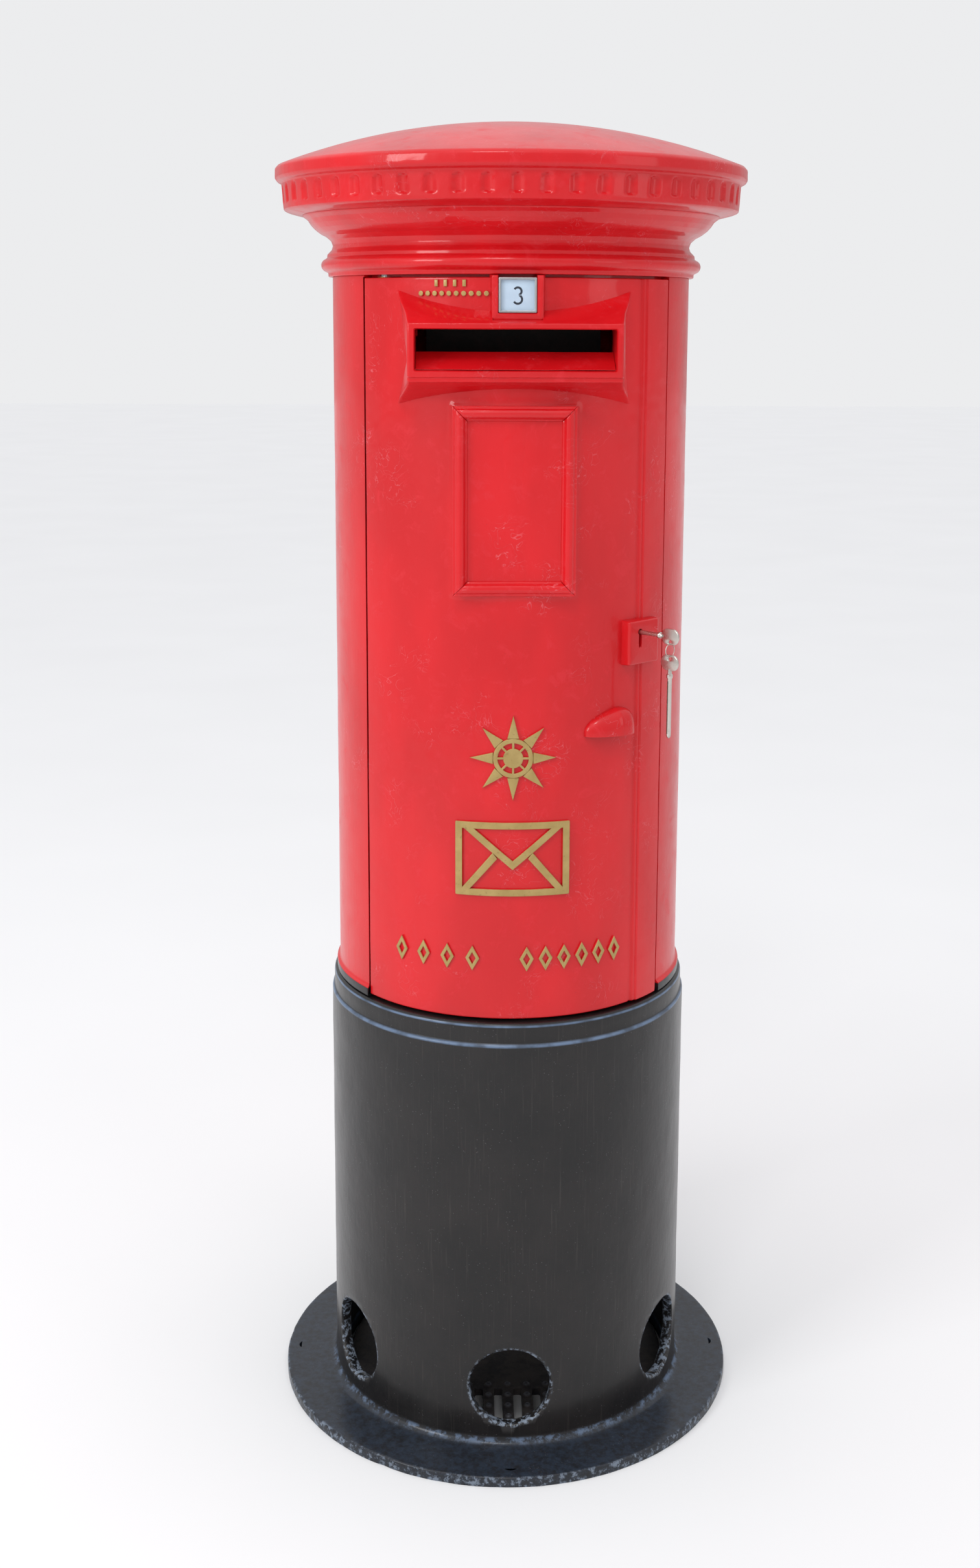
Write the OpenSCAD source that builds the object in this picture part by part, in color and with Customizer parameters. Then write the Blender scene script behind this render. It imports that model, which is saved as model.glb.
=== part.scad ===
// Cast iron pillar letter box: a round barrel with a curved door on a drilled foot casting.
// Millimetres, +Z up, origin on the ground at the centre of the foot, front towards -Y.
// An azimuth is 0 at the front and grows to the right, seen from the front.

/* [Foot] */
// Radius of the bolting flange
flange_r = 327; // [320:1:332]
// Thickness of the bolting flange
flange_t = 14; // [12:1:18]
// Outer radius of the foot barrel
foot_r = 253; // [251:0.5:255]
// Height of the foot's top face
foot_top = 621; // [618:1:624]
// Wall thickness of the foot barrel
foot_wall = 15; // [12:1:18]
// Radius of the six round holes in the foot
window_r = 54.5; // [45:0.5:58]
// Height of the centre of the round holes
window_z = 98.5; // [90:0.5:110]
// Diameter of the foundation bolt circle
bolt_pcd = 600; // [590:1:606]
// Radius of the foundation bolt holes
bolt_hole_r = 9; // [7:0.5:11]

/* [Barrel] */
// Outer radius of the barrel and of the door
barrel_r = 241.3; // [240.5:0.1:242]
// Thickness of the barrel wall and of the door plate
wall_t = 12; // [11:0.5:13]
// Height of the joint between barrel and collar
barrel_top = 1589; // [1587:1:1591]

/* [Collar and cap] */
// Height of the joint between collar and cap
collar_top = 1669; // [1668:1:1671]
// Radius of the cap's frieze at its lower edge
frieze_r = 306; // [304:0.5:307]
// Radius of the cap's lip
lip_r = 316.5; // [315:0.5:318]
// Height of the cap's lip top edge
lip_z = 1731; // [1730:0.5:1733]
// Rise of the dome above the lip
dome_rise = 60; // [56:1:62]
// Number of flutes around the frieze
flute_count = 54; // [40:1:60]

/* [Door] */
// Azimuth of the door's hinge edge
seam_az = -52.5; // [-53:0.1:-52]
// Azimuth of the door's closing edge
closing_az = 56.2; // [56:0.1:56.5]
// Width of the posting slot
slot_w = 248; // [240:1:250]
// Height of the middle of the posting slot
slot_z = 1497; // [1495:0.5:1499]
// Height of the posting slot
slot_h = 50; // [46:1:52]
// Depth of the hood's flat face in front of the axis
hood_face = 268; // [264:1:270]
// Height of the key's axis
key_z = 1134; // [1132:1:1136]

/* [Hidden] */

fine = 96;                          // facets drawn round a large circle
small = 24;                         // facets drawn round a small circle
exact = 360;                        // facets drawn where a part beds on the curved front
cut = 400;                          // longer than any wall that it cuts
inner_r = barrel_r - wall_t;        // inside of the barrel and the door
ring_r = inner_r - 0.4;             // outside of what the door closes on
ring_in = 204;                      // inside of the barrel's two bolting rings
ring_t = 12;                        // thickness of the barrel's bolting rings
floor_in = 190;                     // inside of the foot's top flange
door_z0 = foot_top + 3;             // lower edge of the door
door_z1 = barrel_top - 3.5;         // upper edge of the door
joint_bolt_r = 216;                 // bolt circle of the barrel's rings
joint_bolt_az = 45;                 // azimuth of the first of its bolts
joint_hole_r = 6.5;
screw_gap = 0.1;                    // room round a fixing screw's shank

// The door's pins stand inside the wall, so its hinge edge turns behind the jamb
pin_depth = 18;
pin_inset = 26;
pin_r = 8;
pin_az = seam_az + pin_inset / barrel_r * 180 / PI;
pin_ring_r = barrel_r - pin_depth;
function spot(r, az) = [r * sin(az), -r * cos(az)];
sweep_r = norm(spot(barrel_r, seam_az) - spot(pin_ring_r, pin_az)) + 0.8;
lug_r = 13;

lock_az = 42.9;                     // direction that the lock's flat face looks in
key_x = -8;                         // key axis, to the left of the lock's centre line
boss_face = 253;
case_front = 225;                   // faces of the lock, measured from the box's axis
case_back = 199;
plate_front = 216;
plate_back = 209;
bit_r = 13;
stem_r = 2.9;
bow_y = 304;                        // middle of the key's bow
ring_hole_drop = 7;                 // hole in the bow, below the key's axis
ring_hole_r = 3;
wire_r = 0.75;
key_ring_r = 8.6;
wire_z = key_z - ring_hole_drop - ring_hole_r + wire_r + 0.3;
key_ring_z = wire_z - key_ring_r;
spare_hole_z = key_ring_z - key_ring_r - ring_hole_r + wire_r + 0.3;
spare_z = spare_hole_z - 5.5;       // middle of the spare key's bow

tablet_x = 2.5;                     // tablet, right of the door's centre line
tablet_w = 47;
tablet_h = 43;
tablet_z = 1563.5;
tablet_face = 251;

red = "#d01c28";
black = "#2c2b2e";
gold = "#b19a55";
steel = "#b9bbbd";
brass = "#c1a24d";

// ---- Shared shapes ----

// Children placed at an azimuth, a radius and a height, facing outward along -Y
module at(az, r, z) rotate([0, 0, az]) translate([0, -r, z]) children();

// Part of a ring of rectangular section, between two azimuths
module wall(r0, r1, z0, z1, a0, a1)
    rotate([0, 0, a0 - 90]) translate([0, 0, z0])
        rotate_extrude(angle = a1 - a0, $fn = fine) translate([r0, 0]) square([r1 - r0, z1 - z0]);

// A whole ring of rectangular section
module ring(r0, r1, z0, z1)
    translate([0, 0, z0]) difference() {
        cylinder(r = r1, h = z1 - z0, $fn = fine);
        translate([0, 0, -1]) cylinder(r = r0, h = z1 - z0 + 2, $fn = fine);
    }

// A rod along -Y that starts at the middle and reaches a radius
module outward(r, h) rotate([90, 0, 0]) cylinder(r = r, h = h, $fn = small);

// Flat outline raised on the curved front: drawn in X and Z, standing between two radii
module raised(z, r0, r1)
    intersection() {
        ring(r0, r1, z - 120, z + 120);
        translate([0, 0, z]) rotate([90, 0, 0]) linear_extrude(cut) children();
    }

// A countersunk screw head and shank, pointing along -Z from its head
module screw(head_r, shank_r, length) {
    cylinder(r1 = head_r - 1.5, r2 = head_r, h = 1.5, $fn = small);
    translate([0, 0, -length]) cylinder(r = shank_r, h = length, $fn = small);
}

function arc(x, y, r, a0, a1, n) = [for (i = [0:n]) let (a = a0 + (a1 - a0) * i / n)
    [x + r * cos(a), y + r * sin(a)]];

// ---- Foot ----

fillet = 12;
step_z = 590;                       // small step below the foot's shoulder
band_r = foot_r - 2;
foot_outline = concat(
    [[foot_r - foot_wall, 0], [flange_r, 0], [flange_r, flange_t - 3], [flange_r - 3, flange_t]],
    arc(foot_r + fillet, flange_t + fillet, fillet, 270, 180, 6),
    arc(foot_r - 2, step_z - 2, 2, 0, 90, 3),
    arc(band_r - 7, foot_top - 9, 7, 0, 65, 4),
    [[barrel_r + 3, foot_top], [floor_in, foot_top], [floor_in, foot_top - 18],
     [foot_r - foot_wall - 12, foot_top - 18], [foot_r - foot_wall, foot_top - 42]]);

module base_casting()
    color(black) difference() {
        rotate_extrude($fn = fine) polygon(foot_outline);
        for (i = [0:5]) at(60 * i, 150, window_z) outward(window_r, 150);
        for (i = [0:3]) at(90 * i, bolt_pcd / 2, -1) cylinder(r = bolt_hole_r, h = flange_t + 2, $fn = small);
        for (i = [0:5]) at(60 * i + joint_bolt_az, joint_bolt_r, foot_top - 30)
            cylinder(r = joint_hole_r, h = 40, $fn = small);
        at(pin_az, pin_ring_r, foot_top - 12) cylinder(r = pin_r + 0.1, h = 20, $fn = small);
    }

grate_r = 232;
grate_t = 12;
bar_pitch = 27.5;
grate_edge = 96;                    // where the solid part of the grate gives way to bars
module base_grate()
    color(black) difference() {
        union() {
            cylinder(r = grate_r, h = grate_t, $fn = fine);
            for (i = [-6:6], j = [0:4])
                let (x = i * bar_pitch, y = -grate_edge - 10 - j * 26)
                if (norm([x, y]) < grate_r - 12) translate([x, y, grate_t])
                    cylinder(r = 4, h = 3, $fn = small);
        }
        for (i = [-6:5]) let (x = (i + 0.5) * bar_pitch, reach = sqrt(pow(grate_r - 10, 2) - pow(abs(x)
            + 6, 2)))
            if (reach > grate_edge + 30)
                translate([x - 6, -reach, -1]) cube([12, reach - grate_edge - 18, grate_t + 2]);
    }

module floor_plate()
    color("#4a4b4e") difference() {
        translate([0, 0, foot_top]) cylinder(r = ring_in - 0.5, h = 5, $fn = fine);
        for (i = [0:5], j = [1:3])
            at(60 * i, j * 50, foot_top - 1) cylinder(r = 5, h = 8, $fn = small);
        for (az = guard_bolt_az) at(az, guard_bolt_r, foot_top - 1) cylinder(r = 3.2, h = 8, $fn = small);
        at(pin_az, pin_ring_r, foot_top - 1) cylinder(r = sweep_r, h = 8, $fn = small);
    }

// ---- Barrel ----

foot_lip = 4.2;
module barrel_casting()
    color(red) difference() {
        union() {
            ring(inner_r, barrel_r, foot_top, barrel_top);
            ring(ring_in, inner_r + 1, foot_top, foot_top + ring_t);
            ring(ring_in, inner_r + 1, barrel_top - ring_t, barrel_top);
            rotate_extrude($fn = fine) polygon(concat(
                [[barrel_r - 1, foot_top], [barrel_r + foot_lip, foot_top], [barrel_r + foot_lip,
                    foot_top + 9]],
                arc(barrel_r + foot_lip, foot_top + 13.2, foot_lip, 270, 180, 4), [[barrel_r - 1,
                    foot_top + 20]]));
        }
        wall(ring_r, barrel_r + 20, foot_top - 1, barrel_top + 1, seam_az, closing_az + 0.3);
        at(pin_az, pin_ring_r, foot_top + 2) cylinder(r = sweep_r, h = barrel_top - foot_top - 4.5,
            $fn = fine);
        for (z = [foot_top - 1, barrel_top - 15])
            at(pin_az, pin_ring_r, z) cylinder(r = pin_r + 0.1, h = 18, $fn = small);
        translate([tablet_x - tablet_w / 2 - 3, -inner_r - 2, barrel_top - ring_t - 1])
            cube([tablet_w + 6, 19, ring_t + 2]);
        for (i = [0:5]) at(60 * i + joint_bolt_az, joint_bolt_r, foot_top - 1)
            cylinder(r = joint_hole_r, h = 20, $fn = small);
        for (i = [0:5]) at(60 * i + joint_bolt_az, joint_bolt_r, barrel_top - 20)
            cylinder(r = joint_hole_r, h = 30, $fn = small);
    }

// ---- Collar: ring, bead, neck and cove under the cap ----

bead_r = 8.6;
bead_z = 1604;
neck_r = 241.5;
collar_in = 228;
collar_outline = concat(
    [[collar_in, barrel_top], [247, barrel_top], [247.6, barrel_top + 5.5]],
    arc(248.4, bead_z, bead_r, -80, 82, 10),
    [[248.2, 1617]],
    arc(neck_r + 5, 1630, 9, 215, 145, 4),
    [[249, 1641.5], [262, 1649.5], [268.5, 1654.5], [272.5, 1660], [275, 1664.5], [281, collar_top - 1],
     [281.5, collar_top], [212, collar_top], [212, collar_top - 14], [collar_in, collar_top - 26]]);
drip_r = 252.5;
cap_bolt_r = 224;                   // bolt circle under the cap
module collar_casting()
    color(red) difference() {
        union() {
            rotate_extrude($fn = fine) polygon(collar_outline);
            ring(ring_in, collar_in + 1, barrel_top, barrel_top + ring_t);
            wall(neck_r, drip_r, barrel_top, bead_z - 2, seam_az + 1, closing_az + 0.8);
        }
        for (i = [0:5]) at(60 * i + joint_bolt_az, joint_bolt_r, barrel_top - 1)
            cylinder(r = joint_hole_r, h = 20, $fn = small);
        at(pin_az, pin_ring_r, barrel_top - 1) cylinder(r = pin_r + 0.1, h = 14, $fn = small);
        for (i = [0:5]) at(60 * i + 30, cap_bolt_r, collar_top - 20)
            cylinder(r = joint_hole_r, h = 30, $fn = small);
        for (i = [0:5]) at(60 * i + 30, cap_bolt_r, collar_top - 30) cylinder(r = 11.5, h = 16, $fn = small);
    }

// ---- Cap: domed roof with a projecting lip and a fluted frieze ----

cap_t = 11;
dome_r = (lip_r * lip_r + dome_rise * dome_rise) / (2 * dome_rise);
dome_c = lip_z + dome_rise - dome_r;
hollow_r = 284;
function dome_arc(radius, r0, n) = [for (i = [0:n]) let (r = r0 * (1 - i / n))
    [r, dome_c + sqrt(radius * radius - r * r)]];
cap_outline = concat(
    [[214, collar_top], [283, collar_top], [300, 1673.5], [frieze_r - 1, 1676], [frieze_r, 1679],
     [frieze_r + 2.2, 1708], [310, 1710.5]],
    arc(lip_r - 4.5, 1717.5, 4.5, -50, 0, 3),
    dome_arc(dome_r, lip_r, 24),
    [for (i = [12:-1:0]) dome_arc(dome_r - cap_t, hollow_r, 12)[i]],
    [[hollow_r, collar_top + 14], [214, collar_top + 14]]);
flute_w = 16;
flute_h = 25;
flute_z = 1683;
module flute()
    translate([0, 0, flute_z]) rotate([90, 0, 0]) linear_extrude(30) {
        translate([-flute_w / 2, 0]) square([flute_w, flute_h - flute_w / 2]);
        translate([0, flute_h - flute_w / 2]) circle(d = flute_w, $fn = small);
    }
module cap_roof()
    color(red) difference() {
        rotate_extrude($fn = fine) polygon(cap_outline);
        for (i = [0:flute_count - 1]) at(360 / flute_count * i, frieze_r - 3.4, 0) flute();
        for (i = [0:5]) at(60 * i + 30, cap_bolt_r, collar_top - 1) cylinder(r = 5.5, h = 20, $fn = small);
    }

// ---- Fasteners of the body ----

module hex_bolt(af, head_h, shank_r, length) {
    cylinder(d = af / cos(30), h = head_h, $fn = 6);
    translate([0, 0, -length]) cylinder(r = shank_r, h = length, $fn = small);
}
module cap_bolts()
    color(steel) for (i = [0:5])
        at(60 * i + 30, cap_bolt_r, collar_top - 14) rotate([180, 0, 0]) hex_bolt(17, 8, 5.2, 34);
module barrel_bolts()
    color(steel) for (i = [0:5]) at(60 * i + joint_bolt_az, joint_bolt_r, foot_top + ring_t)
        hex_bolt(17, 8, 6, 42);
module barrel_nuts()
    color(steel) for (i = [0:5]) at(60 * i + joint_bolt_az, joint_bolt_r, foot_top - 28) difference() {
        cylinder(d = 19 / cos(30), h = 10, $fn = 6);
        translate([0, 0, -1]) cylinder(r = 6.2, h = 12, $fn = small);
    }
module collar_bolts()
    color(steel) for (i = [0:5])
        at(60 * i + joint_bolt_az, joint_bolt_r, barrel_top - ring_t) rotate([180, 0, 0])
            hex_bolt(17, 8, 6, 34);

// ---- Inside the body ----

guard_r = 192;
guard_top = 760;
guard_az = [-36, 50];
guard_bolt_r = guard_r - 11;
guard_bolt_az = [guard_az[0] + 12, guard_az[1] - 12];
module letter_guard()
    color(steel) {
        for (z = [foot_top + 24, 690, guard_top - 8]) rotate([0, 0, guard_az[0] - 90]) translate([0, 0, z])
            rotate_extrude(angle = guard_az[1] - guard_az[0], $fn = fine)
                translate([guard_r - 4, 0]) circle(r = 3, $fn = 16);
        for (i = [0:8]) let (az = guard_az[0] + 1 + (guard_az[1] - guard_az[0] - 2) * i / 8)
            at(az, guard_r, foot_top + 6) cylinder(r = 2.5, h = guard_top - foot_top - 6, $fn = 16);
        difference() {
            wall(guard_r - 16, guard_r + 5, foot_top + 5, foot_top + 9, guard_az[0], guard_az[1]);
            for (az = guard_bolt_az) at(az, guard_bolt_r, foot_top) cylinder(r = 3.2, h = 20, $fn = small);
        }
    }
module guard_bolts()
    color(steel) for (az = guard_bolt_az) at(az, guard_bolt_r, foot_top + 9) hex_bolt(10, 4, 3, 12);

module hinge_pins()
    color(steel) for (z = [foot_top - 11, barrel_top - 41])
        at(pin_az, pin_ring_r, z) cylinder(r = pin_r, h = 52, $fn = small);
module hinge_washers()
    color(brass) for (z = [foot_top + 2, door_z1 - 2.4])
        at(pin_az, pin_ring_r, z) difference() {
            cylinder(r = 12.5, h = 3, $fn = small);
            translate([0, 0, -1]) cylinder(r = pin_r + 0.2, h = 5, $fn = small);
        }

// Angle strips that the door's closing edge shuts against, above and below the lock
stop_az0 = closing_az - 2;
stop_az1 = closing_az + 4;
stop_gap = 42;
module door_stops()
    color(red) for (span = [[foot_top + 20, key_z - 20 - stop_gap], [key_z + stop_gap, barrel_top - 20]])
        difference() {
        wall(ring_r - 9, ring_r, span[0], span[1], stop_az0, stop_az1);
        for (z = [span[0] + 30, span[1] - 30]) at(stop_az1 - 1.6, 200, z) outward(2.6, 40);
    }
module stop_screws()
    color(steel) for (z = [foot_top + 50, key_z - 50 - stop_gap, key_z + 30 + stop_gap, barrel_top - 50])
        at(stop_az1 - 1.6, ring_r - 9, z) rotate([-90, 0, 0]) screw(5, 2.5, 8.4);

// Steel keep on the jamb that the bolt shoots into
keep_x = 58;
module keep_shape()
    difference() {
        translate([keep_x, -ring_r, key_z - 46]) cube([27, 32, 50]);
        translate([keep_x - 1, -plate_front - 1, key_z - 35]) cube([20, plate_front - plate_back + 2, 28]);
        for (z = [key_z - 41, key_z - 1]) translate([keep_x + 20, -160, z]) outward(2.2, 80);
    }
module lock_keep()
    color(steel) intersection() {
        rotate([0, 0, lock_az]) keep_shape();
        cylinder(r = ring_r, h = 2000, $fn = fine);
    }
module keep_screws()
    color(steel) rotate([0, 0, lock_az]) for (z = [key_z - 41, key_z - 1])
        translate([keep_x + 20, -ring_r + 32, z]) rotate([-90, 0, 0]) screw(4, 2, 18);

// ---- Door ----

stile_az0 = 44;
stile_az1 = 54.4;
module keyhole(grow) {
    rotate([90, 0, 0]) linear_extrude(80) {
        circle(r = 3.4 + grow, $fn = small);
        translate([-2.2 - grow, -20]) square([4.4 + 2 * grow, 20]);
    }
}
module at_key(y) rotate([0, 0, lock_az]) translate([key_x, -y, key_z]) children();
module door_casting()
    color(red) difference() {
        wall(inner_r, barrel_r, door_z0, door_z1, seam_az, closing_az);
        translate([-slot_w / 2, -300, slot_z - slot_h / 2]) cube([slot_w, 150, slot_h]);
        translate([tablet_x - tablet_w / 2 - 1, -300, tablet_z - tablet_h / 2 - 1])
            cube([tablet_w + 2, 150, tablet_h + 2]);
        at_key(200) keyhole(0.6);
        for (z = [door_z0 - 1, door_z1 - 41])
            at(pin_az, pin_ring_r, z) cylinder(r = lug_r + 0.3, h = 42, $fn = small);
        for (z = lug_screw_z) at(lug_screw_az, inner_r - 2, z) outward(lug_screw_r + screw_gap, 8.2);
        each_hood_screw() translate([0, 10, 0]) outward(hood_screw_r + screw_gap, hood_screw_l + 10.2);
        each_guard_screw() outward(guard_screw_r + screw_gap, 9.2);
        each_lock_screw() translate([0, -20, 0]) outward(lock_screw_r + screw_gap, lock_screw_h - 19.8);
    }

// Raised strip down the closing edge, notched below the lock
module closing_stile()
    color(red) difference() {
        wall(barrel_r, barrel_r + 3.6, door_z0, door_z1, stile_az0, stile_az1);
        at_key(200) keyhole(0.6);
        wall(barrel_r - 1, barrel_r + 5, 995, 1003, stile_az1 - 1.1, stile_az1 + 1);
    }

// Projecting mouth: a flat face with a sloping top, flared below, round the posting slot
hood_w = 266;
ridge_z = 1529;
sill_z = 1456;
hood_flare = 14;
slope = 0.53;                       // rise of the hood's top for each millimetre inward
module hood_slab(y0, y1, w0, w1, za0, zb0, za1, zb1)
    polyhedron(
        points = [[-w0, y0, za0], [w0, y0, za0], [w0, y0, zb0], [-w0, y0, zb0],
                  [-w1, y1, za1], [w1, y1, za1], [w1, y1, zb1], [-w1, y1, zb1]],
        faces = [[3, 2, 1, 0], [4, 5, 6, 7], [0, 1, 5, 4], [1, 2, 6, 5], [2, 3, 7, 6], [3, 0, 4, 7]]);
hood_back = 185;
hood_run = hood_face - hood_back;
module posting_hood()
    color(red) difference() {
        union() {
            translate([-hood_w / 2, -hood_face, sill_z]) cube([hood_w, hood_run, ridge_z - sill_z]);
            hood_slab(-hood_face, -hood_back, hood_w / 2, hood_w / 2 + hood_flare, ridge_z - 20, ridge_z,
                ridge_z - 20, ridge_z + slope * hood_run);
            hood_slab(-hood_face + 4, -hood_back, hood_w / 2 - 2, hood_w / 2 + hood_flare, sill_z,
                sill_z + 12,
                sill_z - 0.36 * hood_run, sill_z + 12);
        }
        translate([0, 0, 1300]) cylinder(r = barrel_r, h = 400, $fn = exact);
        translate([-slot_w / 2, -300, slot_z - slot_h / 2]) cube([slot_w, 150, slot_h]);
        translate([tablet_x - 34, -300, ridge_z + 3]) cube([68, 150, 80]);
        each_hood_screw() translate([0, 10, 0]) outward(hood_screw_r + screw_gap, hood_screw_l + 10.2);
    }
hood_screw_r = 1.8;
hood_screw_l = 52;
module each_hood_screw() for (x = [-128.6, 128.6], z = [slot_z - 30, slot_z + 11])
    translate([x, -186.4, z]) children();
module hood_screws()
    color(steel) each_hood_screw() rotate([-90, 0, 0]) screw(3.6, hood_screw_r, hood_screw_l);

// Plate that rises behind the slot's lower edge and keeps out rain, folded down inside
chute_in = 218;
chute_lip = 1494;
chute_foot = 1474;
chute_w = slot_w - 1;
module chute_plate()
    color(red) translate([-chute_w / 2, 0, 0]) rotate([90, 0, 90]) linear_extrude(chute_w)
        polygon([[-hood_face + 8, slot_z - slot_h / 2 + 0.5], [-hood_face + 12, slot_z - slot_h / 2 + 0.5],
                 [-chute_in, chute_lip - 4], [-chute_in + 18, chute_foot], [-chute_in + 21, chute_foot + 2],
                 [-chute_in + 1, chute_lip], [-chute_in - 2, chute_lip]]);

// Baffle hung behind the slot, so that a hand can't reach down to the letters
baffle_y = 150;
module hand_guard()
    color("#8d9093") difference() {
        union() {
            translate([-112, -baffle_y, 1436]) cube([224, 3, 104]);
            for (x = [-112, 109]) translate([x, -sqrt(inner_r * inner_r - 112 * 112) + 1, 1526])
                cube([3, sqrt(inner_r * inner_r - 112 * 112) - baffle_y, 14]);
            for (x = [-124, 109]) translate([x, -sqrt(inner_r * inner_r - 124 * 124) + 0.5, 1526])
                cube([15, 3, 14]);
        }
        for (x = [-118.5, 118.5]) translate([x, -150, 1533]) outward(2.2, 80);
    }
guard_screw_r = 2;
module each_guard_screw()
    for (x = [-118.5, 118.5]) translate([x, -sqrt(inner_r * inner_r - 124 * 124) + 3.5, 1533]) children();
module guard_screws()
    color(steel) each_guard_screw() rotate([-90, 0, 0]) screw(4, guard_screw_r, 9);

// Notice frame: four mitred rails round a flat panel on a boss
frame_w = 156;
frame_h = 239;
frame_z = 1308.5;
rail_w = 19;
panel_y = 243;
module notice_panel()
    color(red) difference() {
        translate([-frame_w / 2 + 1, -panel_y, frame_z - frame_h / 2 + 1])
            cube([frame_w - 2, 20, frame_h - 2]);
        cylinder(r = barrel_r, h = 2000, $fn = exact);
    }
rail_section = concat([[0, 0], [0, 4.5]], arc(4.5, 4.5, 2.5, 140, 90, 3), arc(11.5, 4.5, 5, 120, 10, 6),
    [[rail_w, 3], [rail_w, 0]]);
module rail(length, gap)
    intersection() {
        translate([-length / 2, 0, 0]) rotate([90, 0, 90]) linear_extrude(length)
            polygon([for (p = rail_section) [-panel_y - p[1], p[0]]]);
        translate([0, -panel_y + 1, 0]) rotate([90, 0, 0]) linear_extrude(20)
            polygon([[-length / 2 + gap, 0], [length / 2 - gap, 0], [length / 2 - rail_w - gap, rail_w],
                     [-length / 2 + rail_w + gap, rail_w]]);
    }
module notice_rail_top() color(red) translate([0, 0, frame_z + frame_h / 2]) mirror([0, 0, 1])
    rail(frame_w, 0.3);
module notice_rail_bottom() color(red) translate([0, 0, frame_z - frame_h / 2]) rail(frame_w, 0.3);
module notice_rail_left() color(red) translate([-frame_w / 2, 0, frame_z]) rotate([0, 90, 0])
    rail(frame_h, 0.3);
module notice_rail_right() color(red) translate([frame_w / 2, 0, frame_z]) rotate([0, -90, 0])
    rail(frame_h, 0.3);

// Guides and sill that hold the collection tablet over the hood
module tablet_holder()
    color(red) difference() {
        translate([tablet_x - 32, -tablet_face - 4, ridge_z + 4]) cube([64, 40, 54.5]);
        cylinder(r = barrel_r, h = 2000, $fn = exact);
        translate([tablet_x - tablet_w / 2 - 1, -300, tablet_z - tablet_h / 2 - 1])
            cube([tablet_w + 2, 150, tablet_h + 30]);
    }
module collection_tablet()
    color("#c3d3dc") translate([tablet_x - tablet_w / 2 + 3, -tablet_face, tablet_z - tablet_h / 2 + 3])
        cube([tablet_w - 6, 2, tablet_h - 6]);
module tablet_frame()
    color(steel) difference() {
        translate([tablet_x - tablet_w / 2, -tablet_face - 1.2, tablet_z - tablet_h / 2])
            cube([tablet_w, 6.2, tablet_h]);
        translate([tablet_x - tablet_w / 2 + 3, -tablet_face - 2, tablet_z - tablet_h / 2 + 3])
            cube([tablet_w - 6, 4, tablet_h - 6]);
    }

// Door lugs that turn on the pins, each with a pad screwed to the door between the bolting rings
lug_h = 37;
pad_h = 62;
pad_t = 12;
lug_screw_az = pin_az + 8.5;
lug_screw_r = 2.5;
pad_z = [foot_top + ring_t + 2, barrel_top - ring_t - 2 - pad_h];
lug_z = [door_z0 + 2.3, door_z1 - 2.8 - lug_h];
lug_screw_z = [for (z = pad_z, dz = [pad_h / 2 - 20, pad_h / 2 + 20]) z + dz];
module lug(i)
    difference() {
        union() {
            at(pin_az, pin_ring_r, lug_z[i]) cylinder(r = lug_r, h = lug_h, $fn = small);
            wall(inner_r - pad_t, inner_r, pad_z[i], pad_z[i] + pad_h, pin_az, pin_az + 12);
        }
        at(pin_az, pin_ring_r, lug_z[i] - 1) cylinder(r = pin_r + 0.06, h = pad_h + 40, $fn = small);
        at(pin_az, pin_ring_r, pad_z[i] - 1) cylinder(r = pin_r + 0.06, h = pad_h + 2, $fn = small);
        for (z = lug_screw_z) at(lug_screw_az, 180, z) outward(lug_screw_r + screw_gap, 60);
    }
module upper_hinge_lug() color(red) lug(1);
module lower_hinge_lug() color(red) lug(0);
module hinge_screws()
    color(steel) for (z = lug_screw_z)
        at(lug_screw_az, inner_r - pad_t, z) rotate([-90, 0, 0]) screw(5, lug_screw_r, 18);

// ---- Lock ----

boss_w = 57;
boss_z0 = 1091;
boss_z1 = 1149;
module lock_boss()
    color(red) difference() {
        rotate([0, 0, lock_az]) translate([-boss_w / 2, -boss_face, boss_z0])
            cube([boss_w, 30, boss_z1 - boss_z0]);
        cylinder(r = barrel_r, h = 2000, $fn = exact);
        wall(barrel_r - 1, barrel_r + 3.8, boss_z0 - 5, boss_z1 + 5, stile_az0 - 0.1, stile_az1 + 5);
        at_key(200) keyhole(0);
    }
case_w = 80;
case_z0 = key_z - 46;
case_z1 = key_z + 24;
lock_screw_r = 2;
lock_screw_h = 36;
module each_lock_screw()
    rotate([0, 0, lock_az]) for (x = [-1, 1], z = [case_z0 + 6, case_z1 - 6])
        translate([x * (case_w / 2 - 6), -case_back + 3, z]) children();
module lock_case()
    color(steel) rotate([0, 0, lock_az]) difference() {
        translate([-case_w / 2, -case_front, case_z0]) cube([case_w, case_front - case_back,
            case_z1 - case_z0]);
        translate([-case_w / 2 + 3, -case_front + 3, case_z0 + 3])
            cube([case_w - 6, case_front - case_back, case_z1 - case_z0 - 6]);
        translate([0, -plate_front - 0.5, key_z - 34.5]) cube([60, plate_front - plate_back + 1, 27]);
        translate([key_x, -205, key_z]) keyhole(0.6);
        rotate([0, 0, -lock_az]) each_lock_screw() outward(lock_screw_r + screw_gap, 60);
    }
module lock_cover()
    color(steel) rotate([0, 0, lock_az]) difference() {
        translate([-case_w / 2, -case_back, case_z0]) cube([case_w, 3, case_z1 - case_z0]);
        rotate([0, 0, -lock_az]) each_lock_screw() translate([0, 10, 0])
            outward(lock_screw_r + screw_gap, 60);
    }
module lock_screws()
    color(steel) each_lock_screw() rotate([-90, 0, 0]) screw(4, lock_screw_r, lock_screw_h);
lever_pivot = [-27, key_z - 40];
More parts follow.
